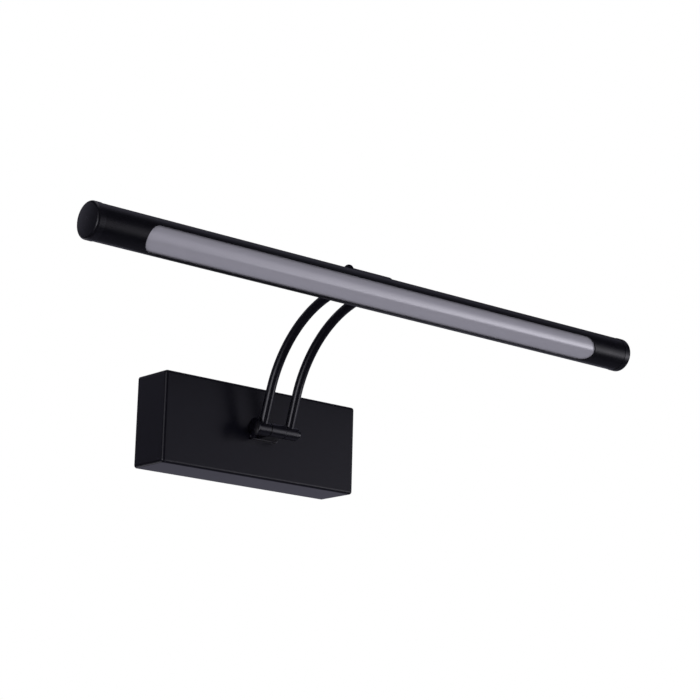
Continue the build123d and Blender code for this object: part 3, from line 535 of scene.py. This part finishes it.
phosphor = makeFinish(
    "phosphor", mouldGrain,
    {"Colour": (0.86, 0.70, 0.22, 1), "Roughness": 0.35, "Grain Scale": 5200.0, "Cloud": 0.12},
    (0.10, 0.03 * mm), {"Coat Weight": 0.5, "Coat Roughness": 0.08},
)
blackRubber = makeFinish(
    "blackRubber", mouldGrain,
    {"Colour": (0.022, 0.022, 0.022, 1), "Roughness": 0.62, "Grain Scale": 2400.0, "Cloud": 0.3},
    (0.3, 0.08 * mm), {"Specular IOR Level": 0.35},
)
# opal acrylic with painted shade: its colour is the dim lilac grey the white opal shows in shade,
# not its own white
opalShadedGrey = makeFinish(
    "opalShadedGrey", mouldGrain,
    {"Colour": (0.236, 0.229, 0.270, 1), "Roughness": 0.17, "Grain Scale": 1200.0, "Cloud": 0.03},
    (0.02, 0.03 * mm), {"Specular IOR Level": 1.0},
)
sleeveColours = {
    "greenSleeve": (0.10, 0.34, 0.06, 1),
    "blueSleeve": (0.03, 0.10, 0.36, 1),
    "redSleeve": (0.46, 0.03, 0.025, 1),
}
sleeves = {
    name: makeFinish(
        name, mouldGrain,
        {"Colour": colour, "Roughness": 0.42, "Grain Scale": 2800.0, "Cloud": 0.12},
        (0.12, 0.04 * mm), {},
    )
    for name, colour in sleeveColours.items()
}
print("finishes ready")

finishOfNode = {
    "wall_bracket": zincPlate, "cable_grommet": blackRubber, "earth_screw": zincPlate,
    "earth_lead": sleeves["greenSleeve"], "terminal_block": naturalNylon,
    "terminal_inserts": turnedBrass, "terminal_screws": zincPlate,
    "terminal_fixing_screw": zincPlate, "box_cover": satinPaint, "cover_screws": blackOxide,
    "led_driver": whiteCase, "driver_screws": zincPlate, "supply_leads": sleeves["blueSleeve"],
    "hinge_leads": sleeves["redSleeve"], "hinge_base": hingeBlack, "hinge_nipple": zincPlate,
    "nipple_washer": zincPlate, "nipple_nut": zincPlate,
    "lower_friction_washers": darkFibre, "upper_friction_washers": darkFibre,
    "lower_knuckle_left": hingeBlack, "lower_knuckle_right": hingeBlack,
    "upper_knuckle_left": hingeBlack, "upper_knuckle_right": hingeBlack,
    "lower_pivot_screw": polishedBlack, "upper_pivot_screw": polishedBlack,
    "lower_spring_washer": blackOxide, "upper_spring_washer": blackOxide,
    "lower_cap_nut": polishedBlack, "upper_cap_nut": polishedBlack,
    "arm_tube_left": satinPaint, "arm_tube_right": satinPaint,
    "arm_leads": sleeves["redSleeve"], "head_tube": anodisedBlack, "head_knuckle": hingeBlack,
    "saddle_plate": zincPlate, "saddle_screws": zincPlate, "led_bar": rawAluminium,
    "led_board": boardLacquer, "leds": phosphor, "board_screws": zincPlate,
    "diffuser": opalShadedGrey, "end_cap_left": capPaint, "end_cap_right": capPaint,
    "head_leads": sleeves["redSleeve"],
}
for nodeName, node in cadNodes.items():
    node.data.materials.clear()
    node.data.materials.append(finishOfNode[nodeName])
print("CAD nodes finished")


# small helpers for geometry trees

geometrySocket, materialSocket, objectSocket = (
    "NodeSocketGeometry", "NodeSocketMaterial", "NodeSocketObject")
wholeSocket, angleSocket = "NodeSocketInt", "angle"  # an angle is a float shown in degrees
creaseAngle = math.radians(32.0)  # sharper edges than this stay crisp
weldDistance = 0.002 * mm


def newGeometryTree(name, inputs):
    tree = bpy.data.node_groups.new(name, "GeometryNodeTree")
    tree.is_modifier = True
    tree.interface.new_socket("Geometry", in_out="INPUT", socket_type=geometrySocket)
    for label, kind in inputs:
        isAngle = kind == angleSocket
        socket = tree.interface.new_socket(
            label, in_out="INPUT", socket_type=floatSocket if isAngle else kind)
        if isAngle:
            socket.subtype = "ANGLE"
    tree.interface.new_socket("Geometry", in_out="OUTPUT", socket_type=geometrySocket)
    entry = addNode(tree, "NodeGroupInput", (-8, 0))
    leave = addNode(tree, "NodeGroupOutput", (10, 0))
    return tree, entry.outputs, leave.inputs[0]


def sine(tree, angle):
    return mathNode(tree, "SINE", angle)


def cosine(tree, angle):
    return mathNode(tree, "COSINE", angle)


def makeVector(tree, x, y, z):
    node = addNode(tree, "ShaderNodeCombineXYZ")
    for socket, value in zip(node.inputs, (x, y, z)):
        feed(tree, socket, value)
    return node.outputs[0]


def alongX(tree, amount):
    return makeVector(tree, amount, 0.0, 0.0)


def acrossHead(tree, angle):
    # unit vector at right angles to the head, at this angle as seen along X
    return makeVector(tree, 0.0, cosine(tree, angle), sine(tree, angle))


def turnTo(tree, angle):
    # the turn that points a shape's top at this angle
    return alongX(tree, minus(tree, angle, quarterTurn))


def addVectors(tree, first, second):
    return vectorNode(tree, "ADD", first, second)


def scaleVector(tree, vector, amount):
    node = addNode(tree, "ShaderNodeVectorMath", operation="SCALE")
    feed(tree, node.inputs[0], vector)
    feed(tree, node.inputs["Scale"], amount)
    return node.outputs[0]


def placeOfPoint(tree):
    # where each point is: whole, and as X, Y and Z
    place = addNode(tree, "GeometryNodeInputPosition").outputs[0]
    return place, splitVector(tree, place)


def movePoints(tree, shape, position):
    node = addNode(tree, "GeometryNodeSetPosition")
    plug(tree, shape, node.inputs["Geometry"])
    plug(tree, position, node.inputs["Position"])
    return node.outputs[0]


def placeShape(tree, shape, move, turn=None):
    node = addNode(tree, "GeometryNodeTransform")
    plug(tree, shape, node.inputs["Geometry"])
    plug(tree, move, node.inputs["Translation"])
    if turn is not None:
        plug(tree, turn, node.inputs["Rotation"])
    return node.outputs[0]


def makeBlock(tree, size):
    # a block by its X, Y and Z size, and half its height
    block = addNode(tree, "GeometryNodeMeshCube")
    plug(tree, size, block.inputs["Size"])
    return block.outputs["Mesh"], times(tree, splitVector(tree, size)["Z"], 0.5)


def closeShell(tree, sheet, scale, offset=None, flipSheet=False):
    # thickens an open sheet: the sheet, its moved copy and the walls between make a closed skin
    grown = addNode(tree, "GeometryNodeExtrudeMesh", mode="FACES")
    plug(tree, sheet, grown.inputs["Mesh"])
    if offset is not None:
        plug(tree, offset, grown.inputs["Offset"])
    feed(tree, grown.inputs["Offset Scale"], scale)
    grown.inputs["Individual"].default_value = False
    flip = addNode(tree, "GeometryNodeFlipFaces")
    plug(tree, sheet if flipSheet else grown.outputs["Mesh"], flip.inputs["Mesh"])
    both = addNode(tree, "GeometryNodeJoinGeometry")
    plug(tree, flip.outputs[0], both.inputs[0])
    plug(tree, grown.outputs["Mesh"] if flipSheet else sheet, both.inputs[0])
    weld = addNode(tree, "GeometryNodeMergeByDistance")
    plug(tree, both.outputs[0], weld.inputs["Geometry"])
    weld.inputs["Distance"].default_value = weldDistance
    return weld.outputs[0]


def linePoints(tree, count, start, step):
    line = addNode(tree, "GeometryNodeMeshLine", mode="OFFSET")
    feed(tree, line.inputs["Count"], count)
    plug(tree, start, line.inputs["Start Location"])
    plug(tree, step, line.inputs["Offset"])
    return line.outputs[0]


def pairPoints(tree, centre, spread):
    # one point this far to either side of the centre
    start = addVectors(tree, centre, alongX(tree, times(tree, spread, -1.0)))
    return linePoints(tree, 2, start, alongX(tree, times(tree, spread, 2.0)))


def standOnPoints(tree, points, instance, rotation=None):
    node = addNode(tree, "GeometryNodeInstanceOnPoints")
    plug(tree, points, node.inputs["Points"])
    plug(tree, instance, node.inputs["Instance"])
    if rotation is not None:
        plug(tree, rotation, node.inputs["Rotation"])
    return node.outputs[0]


def finishTree(tree, instances, result, *coats):
    # each coat is a finish and the faces that take it, None for all
    real = addNode(tree, "GeometryNodeRealizeInstances", (7, 0))
    plug(tree, instances, real.inputs[0])
    shape = real.outputs[0]
    for order, (finish, faces) in enumerate(coats):
        paint = addNode(tree, "GeometryNodeSetMaterial", (8 + order, 0))
        plug(tree, shape, paint.inputs["Geometry"])
        plug(tree, finish, paint.inputs["Material"])
        if faces is not None:
            plug(tree, faces, paint.inputs["Selection"])
        shape = paint.outputs[0]
    plug(tree, shape, result)


def growPiece(name, tree, values):
    host = bpy.data.objects.new(name, bpy.data.meshes.new(name))
    scene.collection.objects.link(host)
    grower = host.modifiers.new(name, "NODES")
    grower.node_group = tree
    for item in tree.interface.items_tree:
        if item.item_type == "SOCKET" and item.in_out == "INPUT" and item.name in values:
            grower[item.identifier] = values[item.name]
    depsgraph = bpy.context.evaluated_depsgraph_get()
    grown = bpy.data.meshes.new_from_object(host.evaluated_get(depsgraph), depsgraph=depsgraph)
    host.modifiers.remove(grower)
    host.data = grown
    grown.name = name
    for index in reversed(range(len(grown.materials))):
        if grown.materials[index] is None:  # left by parts that had no finish of their own
            grown.materials.pop(index=index)
    grown.shade_smooth()
    grown.set_sharp_from_angle(angle=creaseAngle)
    return host


# bent arms: a straight run, a bend and a straight run, worked out along the tube

armSet = {
    "Side Offset": 10.75 * mm,
    "Tube Radius": 3.05 * mm,
    "Wall": 0.85 * mm,
    "Pivot": (0.0, -44.5 * mm, 0.0),
    "Lean": math.radians(17.5),
    "Bend": math.radians(56.0),
    "Bend Radius": 79.0 * mm,
    "Socket Floor": 3.4 * mm,
    "Lower Run": 21.1 * mm,
    "Upper Run": 27.1 * mm,
    "Rings": 140,
    "Sides": 48,
}


def makeArmTree():
    tree, given, result = newGeometryTree("bentTubes", [
        ("Side Offset", floatSocket), ("Tube Radius", floatSocket), ("Wall", floatSocket),
        ("Pivot", vectorSocket), ("Lean", angleSocket), ("Bend", angleSocket),
        ("Bend Radius", floatSocket), ("Socket Floor", floatSocket), ("Lower Run", floatSocket),
        ("Upper Run", floatSocket), ("Rings", wholeSocket), ("Sides", wholeSocket),
        ("Finish", materialSocket),
    ])
    lean, bend, bendRadius, lowerRun = (
        given[label] for label in ("Lean", "Bend", "Bend Radius", "Lower Run"))

    def along(angle):
        # the way the tube runs when it leans out by this angle
        return makeVector(tree, 0.0, times(tree, sine(tree, angle), -1.0), cosine(tree, angle))

    line = addNode(tree, "GeometryNodeCurvePrimitiveLine")
    rings = addNode(tree, "GeometryNodeResampleCurve")
    plug(tree, line.outputs[0], rings.inputs["Curve"])
    plug(tree, given["Rings"], rings.inputs["Count"])
    # how far along the tube each ring is, and how much of that is in each of its parts
    spline = addNode(tree, "GeometryNodeSplineParameter")
    arcLength = times(tree, bendRadius, bend)
    bendEnd = plus(tree, lowerRun, arcLength)
    travel = times(tree, spline.outputs["Factor"], plus(tree, bendEnd, given["Upper Run"]))
    lower = mathNode(tree, "MINIMUM", travel, lowerRun)
    pastLower = larger(tree, minus(tree, travel, lowerRun), 0.0)
    inBend = mathNode(tree, "MINIMUM", pastLower, arcLength)
    upper = larger(tree, minus(tree, travel, bendEnd), 0.0)
    lowerPart = scaleVector(tree, along(lean), plus(tree, given["Socket Floor"], lower))
    turned = plus(tree, lean, mathNode(tree, "DIVIDE", inBend, bendRadius))
    chord = makeVector(
        tree, 0.0,
        minus(tree, cosine(tree, turned), cosine(tree, lean)),
        minus(tree, sine(tree, turned), sine(tree, lean)),
    )
    bendPart = scaleVector(tree, chord, bendRadius)
    upperPart = scaleVector(tree, along(plus(tree, lean, bend)), upper)
    footPart = addVectors(tree, given["Pivot"], lowerPart)
    path = movePoints(
        tree, rings.outputs[0],
        addVectors(tree, footPart, addVectors(tree, bendPart, upperPart)))
    circle = addNode(tree, "GeometryNodeCurvePrimitiveCircle", mode="RADIUS")
    plug(tree, given["Sides"], circle.inputs["Resolution"])
    plug(tree, given["Tube Radius"], circle.inputs["Radius"])
    skin = addNode(tree, "GeometryNodeCurveToMesh")
    plug(tree, path, skin.inputs["Curve"])
    plug(tree, circle.outputs[0], skin.inputs["Profile Curve"])
    tube = closeShell(tree, skin.outputs[0], times(tree, given["Wall"], -1.0))
    pair = standOnPoints(tree, pairPoints(tree, (0.0, 0.0, 0.0), given["Side Offset"]), tube)
    finishTree(tree, pair, result, (given["Finish"], None))
    return tree


bentArms = growPiece("bentArms", makeArmTree(), {**armSet, "Finish": satinPaint})
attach(bentArms, "arm")
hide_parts("arm_tube_left", "arm_tube_right")
print("bent arms made", len(bentArms.data.polygons))


# the head's middle line, and the way its window faces as seen along X
headAxis = (0.0, -146.642 * mm, 71.613 * mm)
windowAngle = math.radians(211.0)


# the head's tube, with its round-ended window and the slot where the hinge's neck goes in

shellSet = {
    "Axis": headAxis,
    "Facing": windowAngle,
    "Hinge Side": math.radians(44.5),
    "Radius": 11.05 * mm,
    "Wall": 1.05 * mm,
    "Length": 424.0 * mm,
    "Window Length": 366.0 * mm,
    "Window Width": 17.0 * mm,
    "Window Points": 128,
    "Neck Slot": (10.9 * mm, 5.1 * mm, 14.0 * mm),
    "Sides": 200,
    "Bore Overrun": 1.1,  # how far past the tube its cutters run
    "Window Overrun": 1.3,
}


def makeShellTree():
    tree, given, result = newGeometryTree("headShell", [
        ("Axis", vectorSocket), ("Facing", angleSocket), ("Hinge Side", angleSocket),
        ("Radius", floatSocket), ("Wall", floatSocket), ("Length", floatSocket),
        ("Window Length", floatSocket), ("Window Width", floatSocket),
        ("Window Points", wholeSocket), ("Neck Slot", vectorSocket), ("Sides", wholeSocket),
        ("Bore Overrun", floatSocket), ("Window Overrun", floatSocket),
        ("Finish", materialSocket),
    ])

    def lyingBar(radius, length):
        bar = addNode(tree, "GeometryNodeMeshCylinder", fill_type="NGON")
        plug(tree, given["Sides"], bar.inputs["Vertices"])
        plug(tree, radius, bar.inputs["Radius"])
        plug(tree, length, bar.inputs["Depth"])
        onItsSide = makeVector(tree, 0.0, quarterTurn, 0.0)
        return placeShape(tree, bar.outputs["Mesh"], given["Axis"], onItsSide)

    outer = lyingBar(given["Radius"], given["Length"])
    bore = lyingBar(
        minus(tree, given["Radius"], given["Wall"]),
        times(tree, given["Length"], given["Bore Overrun"]))
    # the window's outline: a circle pulled apart along the head
    circle = addNode(tree, "GeometryNodeMeshCircle", fill_type="NGON")
    plug(tree, given["Window Points"], circle.inputs["Vertices"])
    plug(tree, times(tree, given["Window Width"], 0.5), circle.inputs["Radius"])
    spread = times(tree, minus(tree, given["Window Length"], given["Window Width"]), 0.5)
    place, part = placeOfPoint(tree)
    pull = alongX(tree, times(tree, mathNode(tree, "SIGN", part["X"]), spread))
    outline = movePoints(tree, circle.outputs["Mesh"], addVectors(tree, place, pull))
    deep = makeVector(tree, 0.0, 0.0, times(tree, given["Radius"], given["Window Overrun"]))
    window = closeShell(tree, outline, 1.0, offset=deep, flipSheet=True)
    window = placeShape(tree, window, given["Axis"], turnTo(tree, given["Facing"]))
    # the neck's slot starts at the axis and goes out through the wall
    block, halfHeight = makeBlock(tree, given["Neck Slot"])
    outward = scaleVector(tree, acrossHead(tree, given["Hinge Side"]), halfHeight)
    middle = addVectors(tree, given["Axis"], outward)
    neck = placeShape(tree, block, middle, turnTo(tree, given["Hinge Side"]))
    cut = addNode(tree, "GeometryNodeMeshBoolean", operation="DIFFERENCE", solver="EXACT")
    plug(tree, outer, cut.inputs["Mesh 1"])
    for cutter in (bore, window, neck):
        plug(tree, cutter, cut.inputs["Mesh 2"])
    finishTree(tree, cut.outputs["Mesh"], result, (given["Finish"], None))
    return tree


headShell = growPiece("headShell", makeShellTree(), {**shellSet, "Finish": anodisedBlack})
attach(headShell, "head")
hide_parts("head_tube")
print("head shell made", len(headShell.data.polygons))


# opal trough behind the head's window: part of a ring, drawn along the head

opalSet = {
    "Axis": headAxis,
    "Facing": windowAngle,
    "Outer Radius": 9.95 * mm,
    "Inner Radius": 8.85 * mm,
    "Rim Height": -2.0 * mm,
    "Length": 409.6 * mm,
    "Steps": 97,
}


def makeOpalTree():
    tree, given, result = newGeometryTree("opalTrough", [
        ("Axis", vectorSocket), ("Facing", angleSocket), ("Outer Radius", floatSocket),
        ("Inner Radius", floatSocket), ("Rim Height", floatSocket), ("Length", floatSocket),
        ("Steps", wholeSocket), ("Finish", materialSocket),
    ])
    # a flat grid, whose X becomes the way through the wall and whose Y the way round it
    grid = addNode(tree, "GeometryNodeMeshGrid")
    grid.inputs["Size X"].default_value = 1.0
    grid.inputs["Size Y"].default_value = 2.0
    grid.inputs["Vertices X"].default_value = 3
    plug(tree, given["Steps"], grid.inputs["Vertices Y"])
    part = placeOfPoint(tree)[1]
    wall = minus(tree, given["Outer Radius"], given["Inner Radius"])
    through = plus(tree, part["X"], 0.5)
    radius = mathNode(tree, "MULTIPLY_ADD", wall, through, given["Inner Radius"])
    reach = mathNode(tree, "ARCCOSINE", mathNode(tree, "DIVIDE", given["Rim Height"], radius))
    angle = mathNode(tree, "MULTIPLY_ADD", reach, part["Y"], given["Facing"])
    around = makeVector(
        tree, times(tree, given["Length"], -0.5),
        times(tree, radius, cosine(tree, angle)),
        times(tree, radius, sine(tree, angle)),
    )
    section = movePoints(tree, grid.outputs["Mesh"], addVectors(tree, given["Axis"], around))
    drawn = alongX(tree, given["Length"])
    trough = closeShell(tree, section, 1.0, offset=drawn, flipSheet=True)
    finishTree(tree, trough, result, (given["Finish"], None))
    return tree


opalTrough = growPiece("opalTrough", makeOpalTree(), {**opalSet, "Finish": opalShadedGrey})
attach(opalTrough, "head")
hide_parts("diffuser")
print("opal trough made", len(opalTrough.data.polygons))


# the row of lamps on the board: one small package with a sunk phosphor face, repeated

boardHeight = -1.0 * mm  # of the board's face, from the axis towards the window
ledSet = {
    "Axis": headAxis,
    "Facing": windowAngle,
    "Board Height": boardHeight,
    "Count": 35,
    "Pitch": 10.0 * mm,
    "Package": (2.8 * mm, 3.5 * mm, 0.7 * mm),
    "Rim": 0.80,  # share of the face inside the rim
    "Well Depth": 0.16 * mm,
    "Well Floor": 0.90,  # share of the well's mouth
}


def makeLedTree():
    tree, given, result = newGeometryTree("ledRow", [
        ("Axis", vectorSocket), ("Facing", angleSocket), ("Board Height", floatSocket),
        ("Count", wholeSocket), ("Pitch", floatSocket), ("Package", vectorSocket),
        ("Rim", floatSocket), ("Well Depth", floatSocket), ("Well Floor", floatSocket),
        ("Case", materialSocket), ("Glow", materialSocket),
    ])
    block, halfHeight = makeBlock(tree, given["Package"])
    shape = placeShape(tree, block, makeVector(tree, 0.0, 0.0, halfHeight))
    normal = addNode(tree, "GeometryNodeInputNormal")
    facing = splitVector(tree, normal.outputs[0])
    chosen = mathNode(tree, "GREATER_THAN", facing["Z"], 0.5)  # the top face
    sinking = times(tree, given["Well Depth"], -1.0)
    for depth, share in ((0.0, given["Rim"]), (sinking, given["Well Floor"])):
        sunk = addNode(tree, "GeometryNodeExtrudeMesh", mode="FACES")
        plug(tree, shape, sunk.inputs["Mesh"])
        plug(tree, chosen, sunk.inputs["Selection"])
        feed(tree, sunk.inputs["Offset Scale"], depth)
        narrowed = addNode(tree, "GeometryNodeScaleElements")
        plug(tree, sunk.outputs["Mesh"], narrowed.inputs["Geometry"])
        plug(tree, sunk.outputs["Top"], narrowed.inputs["Selection"])
        plug(tree, share, narrowed.inputs["Scale"])
        shape, chosen = narrowed.outputs[0], sunk.outputs["Top"]
    keep = addNode(tree, "GeometryNodeCaptureAttribute", domain="FACE")
    keep.capture_items.new("BOOLEAN", "Glow")
    plug(tree, shape, keep.inputs["Geometry"])
    plug(tree, chosen, keep.inputs["Glow"])
    lift = scaleVector(tree, acrossHead(tree, given["Facing"]), given["Board Height"])
    seat = addVectors(tree, given["Axis"], lift)
    span = times(tree, minus(tree, given["Count"], 1.0), given["Pitch"])
    start = addVectors(tree, seat, alongX(tree, times(tree, span, -0.5)))
    points = linePoints(tree, given["Count"], start, alongX(tree, given["Pitch"]))
    row = standOnPoints(tree, points, keep.outputs["Geometry"], turnTo(tree, given["Facing"]))
    finishTree(tree, row, result, (given["Case"], None), (given["Glow"], keep.outputs["Glow"]))
    return tree


ledRow = growPiece("ledRow", makeLedTree(), {**ledSet, "Case": whiteCase, "Glow": phosphor})
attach(ledRow, "head")
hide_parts("leds")
print("lamp row made", len(ledRow.data.polygons))


# screws: one turned by hand as a mesh, set out in pairs with a random turn each

screwSet = {
    "headRatio": 1.75,  # head radius, in shank radii, as are the rest
    "headHeight": 1.2,
    "headRounding": 0.54,
    "socketRadius": 0.7,
    "socketDepth": 0.72,
    "point": 0.2,
    "threadPitch": 0.34,
    "threadDepth": 0.16,
    "threadEnd": 1.2,  # plain shank left under the head
    "socketMouth": 1.10,  # this and the next in socket radii
    "socketBevel": 0.08,
    "roundingSteps": 8,
    "sides": 48,
}
coverScrewSet = {
    "shank": (1.5 * mm, 4.7 * mm),  # radius and length
    "Centre": (0.0, -6.5 * mm, 30.0 * mm),
    "Spread": 50.0 * mm,
    "Tilt": 0.0,
    "Seed": 3,
}
boardScrewSet = {
    "shank": (1.0 * mm, 2.5 * mm),
    "Centre": (
        0.0,
        headAxis[1] + boardHeight * math.cos(windowAngle),
        headAxis[2] + boardHeight * math.sin(windowAngle),
    ),
    "Spread": 165.0 * mm,
    "Tilt": windowAngle - quarterTurn,
    "Seed": 8,
}


def screwRings(shank, settings):
    # radius, height and whether six-sided, from the point up to the socket's floor
    radius, length = shank
    point = radius * settings["point"]
    rings = [(radius - point, -length, False), (radius, -length + point, False)]
    pitch = radius * settings["threadPitch"]
    ridge = radius * (1 - settings["threadDepth"])
    height = -length + point
    while height + pitch < -settings["threadEnd"] * radius:
        rings.append((ridge, height + pitch * 0.5, False))
        rings.append((radius, height + pitch, False))
        height += pitch
    head = radius * settings["headRatio"]
    top = radius * settings["headHeight"]
    rounding = radius * settings["headRounding"]
    rings += [(radius, 0.0, False), (head, 0.0, False), (head, top - rounding, False)]
    for step in range(1, settings["roundingSteps"] + 1):
        angle = math.radians(90 * step / settings["roundingSteps"])
        inwards, down = rounding * (1 - math.cos(angle)), rounding * (1 - math.sin(angle))
        rings.append((head - inwards, top - down, False))
    socket = radius * settings["socketRadius"]
    rings.append((socket * settings["socketMouth"], top, True))
    rings.append((socket, top - socket * settings["socketBevel"], True))
    rings.append((socket, top - radius * settings["socketDepth"], True))
    return rings


def makeScrewMesh(name, shank, settings):
    rings = screwRings(shank, settings)
    sides = settings["sides"]
    halfFlat = math.pi / 6  # half the angle that one side of the socket takes up
    shape = bmesh.new()
    loops = []
    for reach, height, sixSided in rings:
        loop = []
        for side in range(sides):
            angle = 2 * math.pi * side / sides
            across = reach
            if sixSided:
                across = reach * math.cos(halfFlat) / math.cos(angle % (2 * halfFlat) - halfFlat)
            place = (across * math.cos(angle), across * math.sin(angle), height)
            loop.append(shape.verts.new(place))
        loops.append(loop)
    neighbours = [(side, (side + 1) % sides) for side in range(sides)]
    for lower, upper in zip(loops, loops[1:]):
        for side, following in neighbours:
            shape.faces.new((lower[side], lower[following], upper[following], upper[side]))
    for loop, height, flipped in ((loops[0], rings[0][1], True), (loops[-1], rings[-1][1], False)):
        middle = shape.verts.new((0, 0, height))
        for side, following in neighbours:
            first, second = (following, side) if flipped else (side, following)
            shape.faces.new((middle, loop[first], loop[second]))
    mesh = bpy.data.meshes.new(name)
    shape.to_mesh(mesh)
    shape.free()
    return mesh


def makeScrewTree():
    tree, given, result = newGeometryTree("screwPair", [
        ("Screw", objectSocket), ("Centre", vectorSocket), ("Spread", floatSocket),
        ("Tilt", angleSocket), ("Seed", wholeSocket), ("Finish", materialSocket),
    ])
    model = addNode(tree, "GeometryNodeObjectInfo")
    plug(tree, given["Screw"], model.inputs["Object"])
    points = pairPoints(tree, given["Centre"], given["Spread"])
    pair = standOnPoints(tree, points, model.outputs["Geometry"], alongX(tree, given["Tilt"]))
    chance = addNode(tree, "FunctionNodeRandomValue", data_type="FLOAT")
    chance.inputs[3].default_value = 2 * math.pi  # input 3 and output 1 are the float ones
    plug(tree, given["Seed"], chance.inputs["Seed"])
    spun = addNode(tree, "GeometryNodeRotateInstances")
    plug(tree, pair, spun.inputs["Instances"])
    plug(tree, makeVector(tree, 0.0, 0.0, chance.outputs[1]), spun.inputs["Rotation"])
    finishTree(tree, spun.outputs[0], result, (given["Finish"], None))
    return tree


screwTree = makeScrewTree()
for pieceName, places, finish, body, cadName, slotName in (
    ("coverScrews", coverScrewSet, blackOxide, "base", "cover_screws", "black_steel"),
    ("boardScrews", boardScrewSet, zincPlate, "head", "board_screws", "plated_steel"),
):
    modelName = pieceName + "Model"
    modelMesh = makeScrewMesh(modelName, places["shank"], screwSet)
    model = bpy.data.objects.new(modelName, modelMesh)
    pair = growPiece(pieceName, screwTree, {**places, "Screw": model, "Finish": finish})
    bpy.data.objects.remove(model)
    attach(pair, body)
    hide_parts(cadName)
    print(pieceName, "made", len(pair.data.polygons))
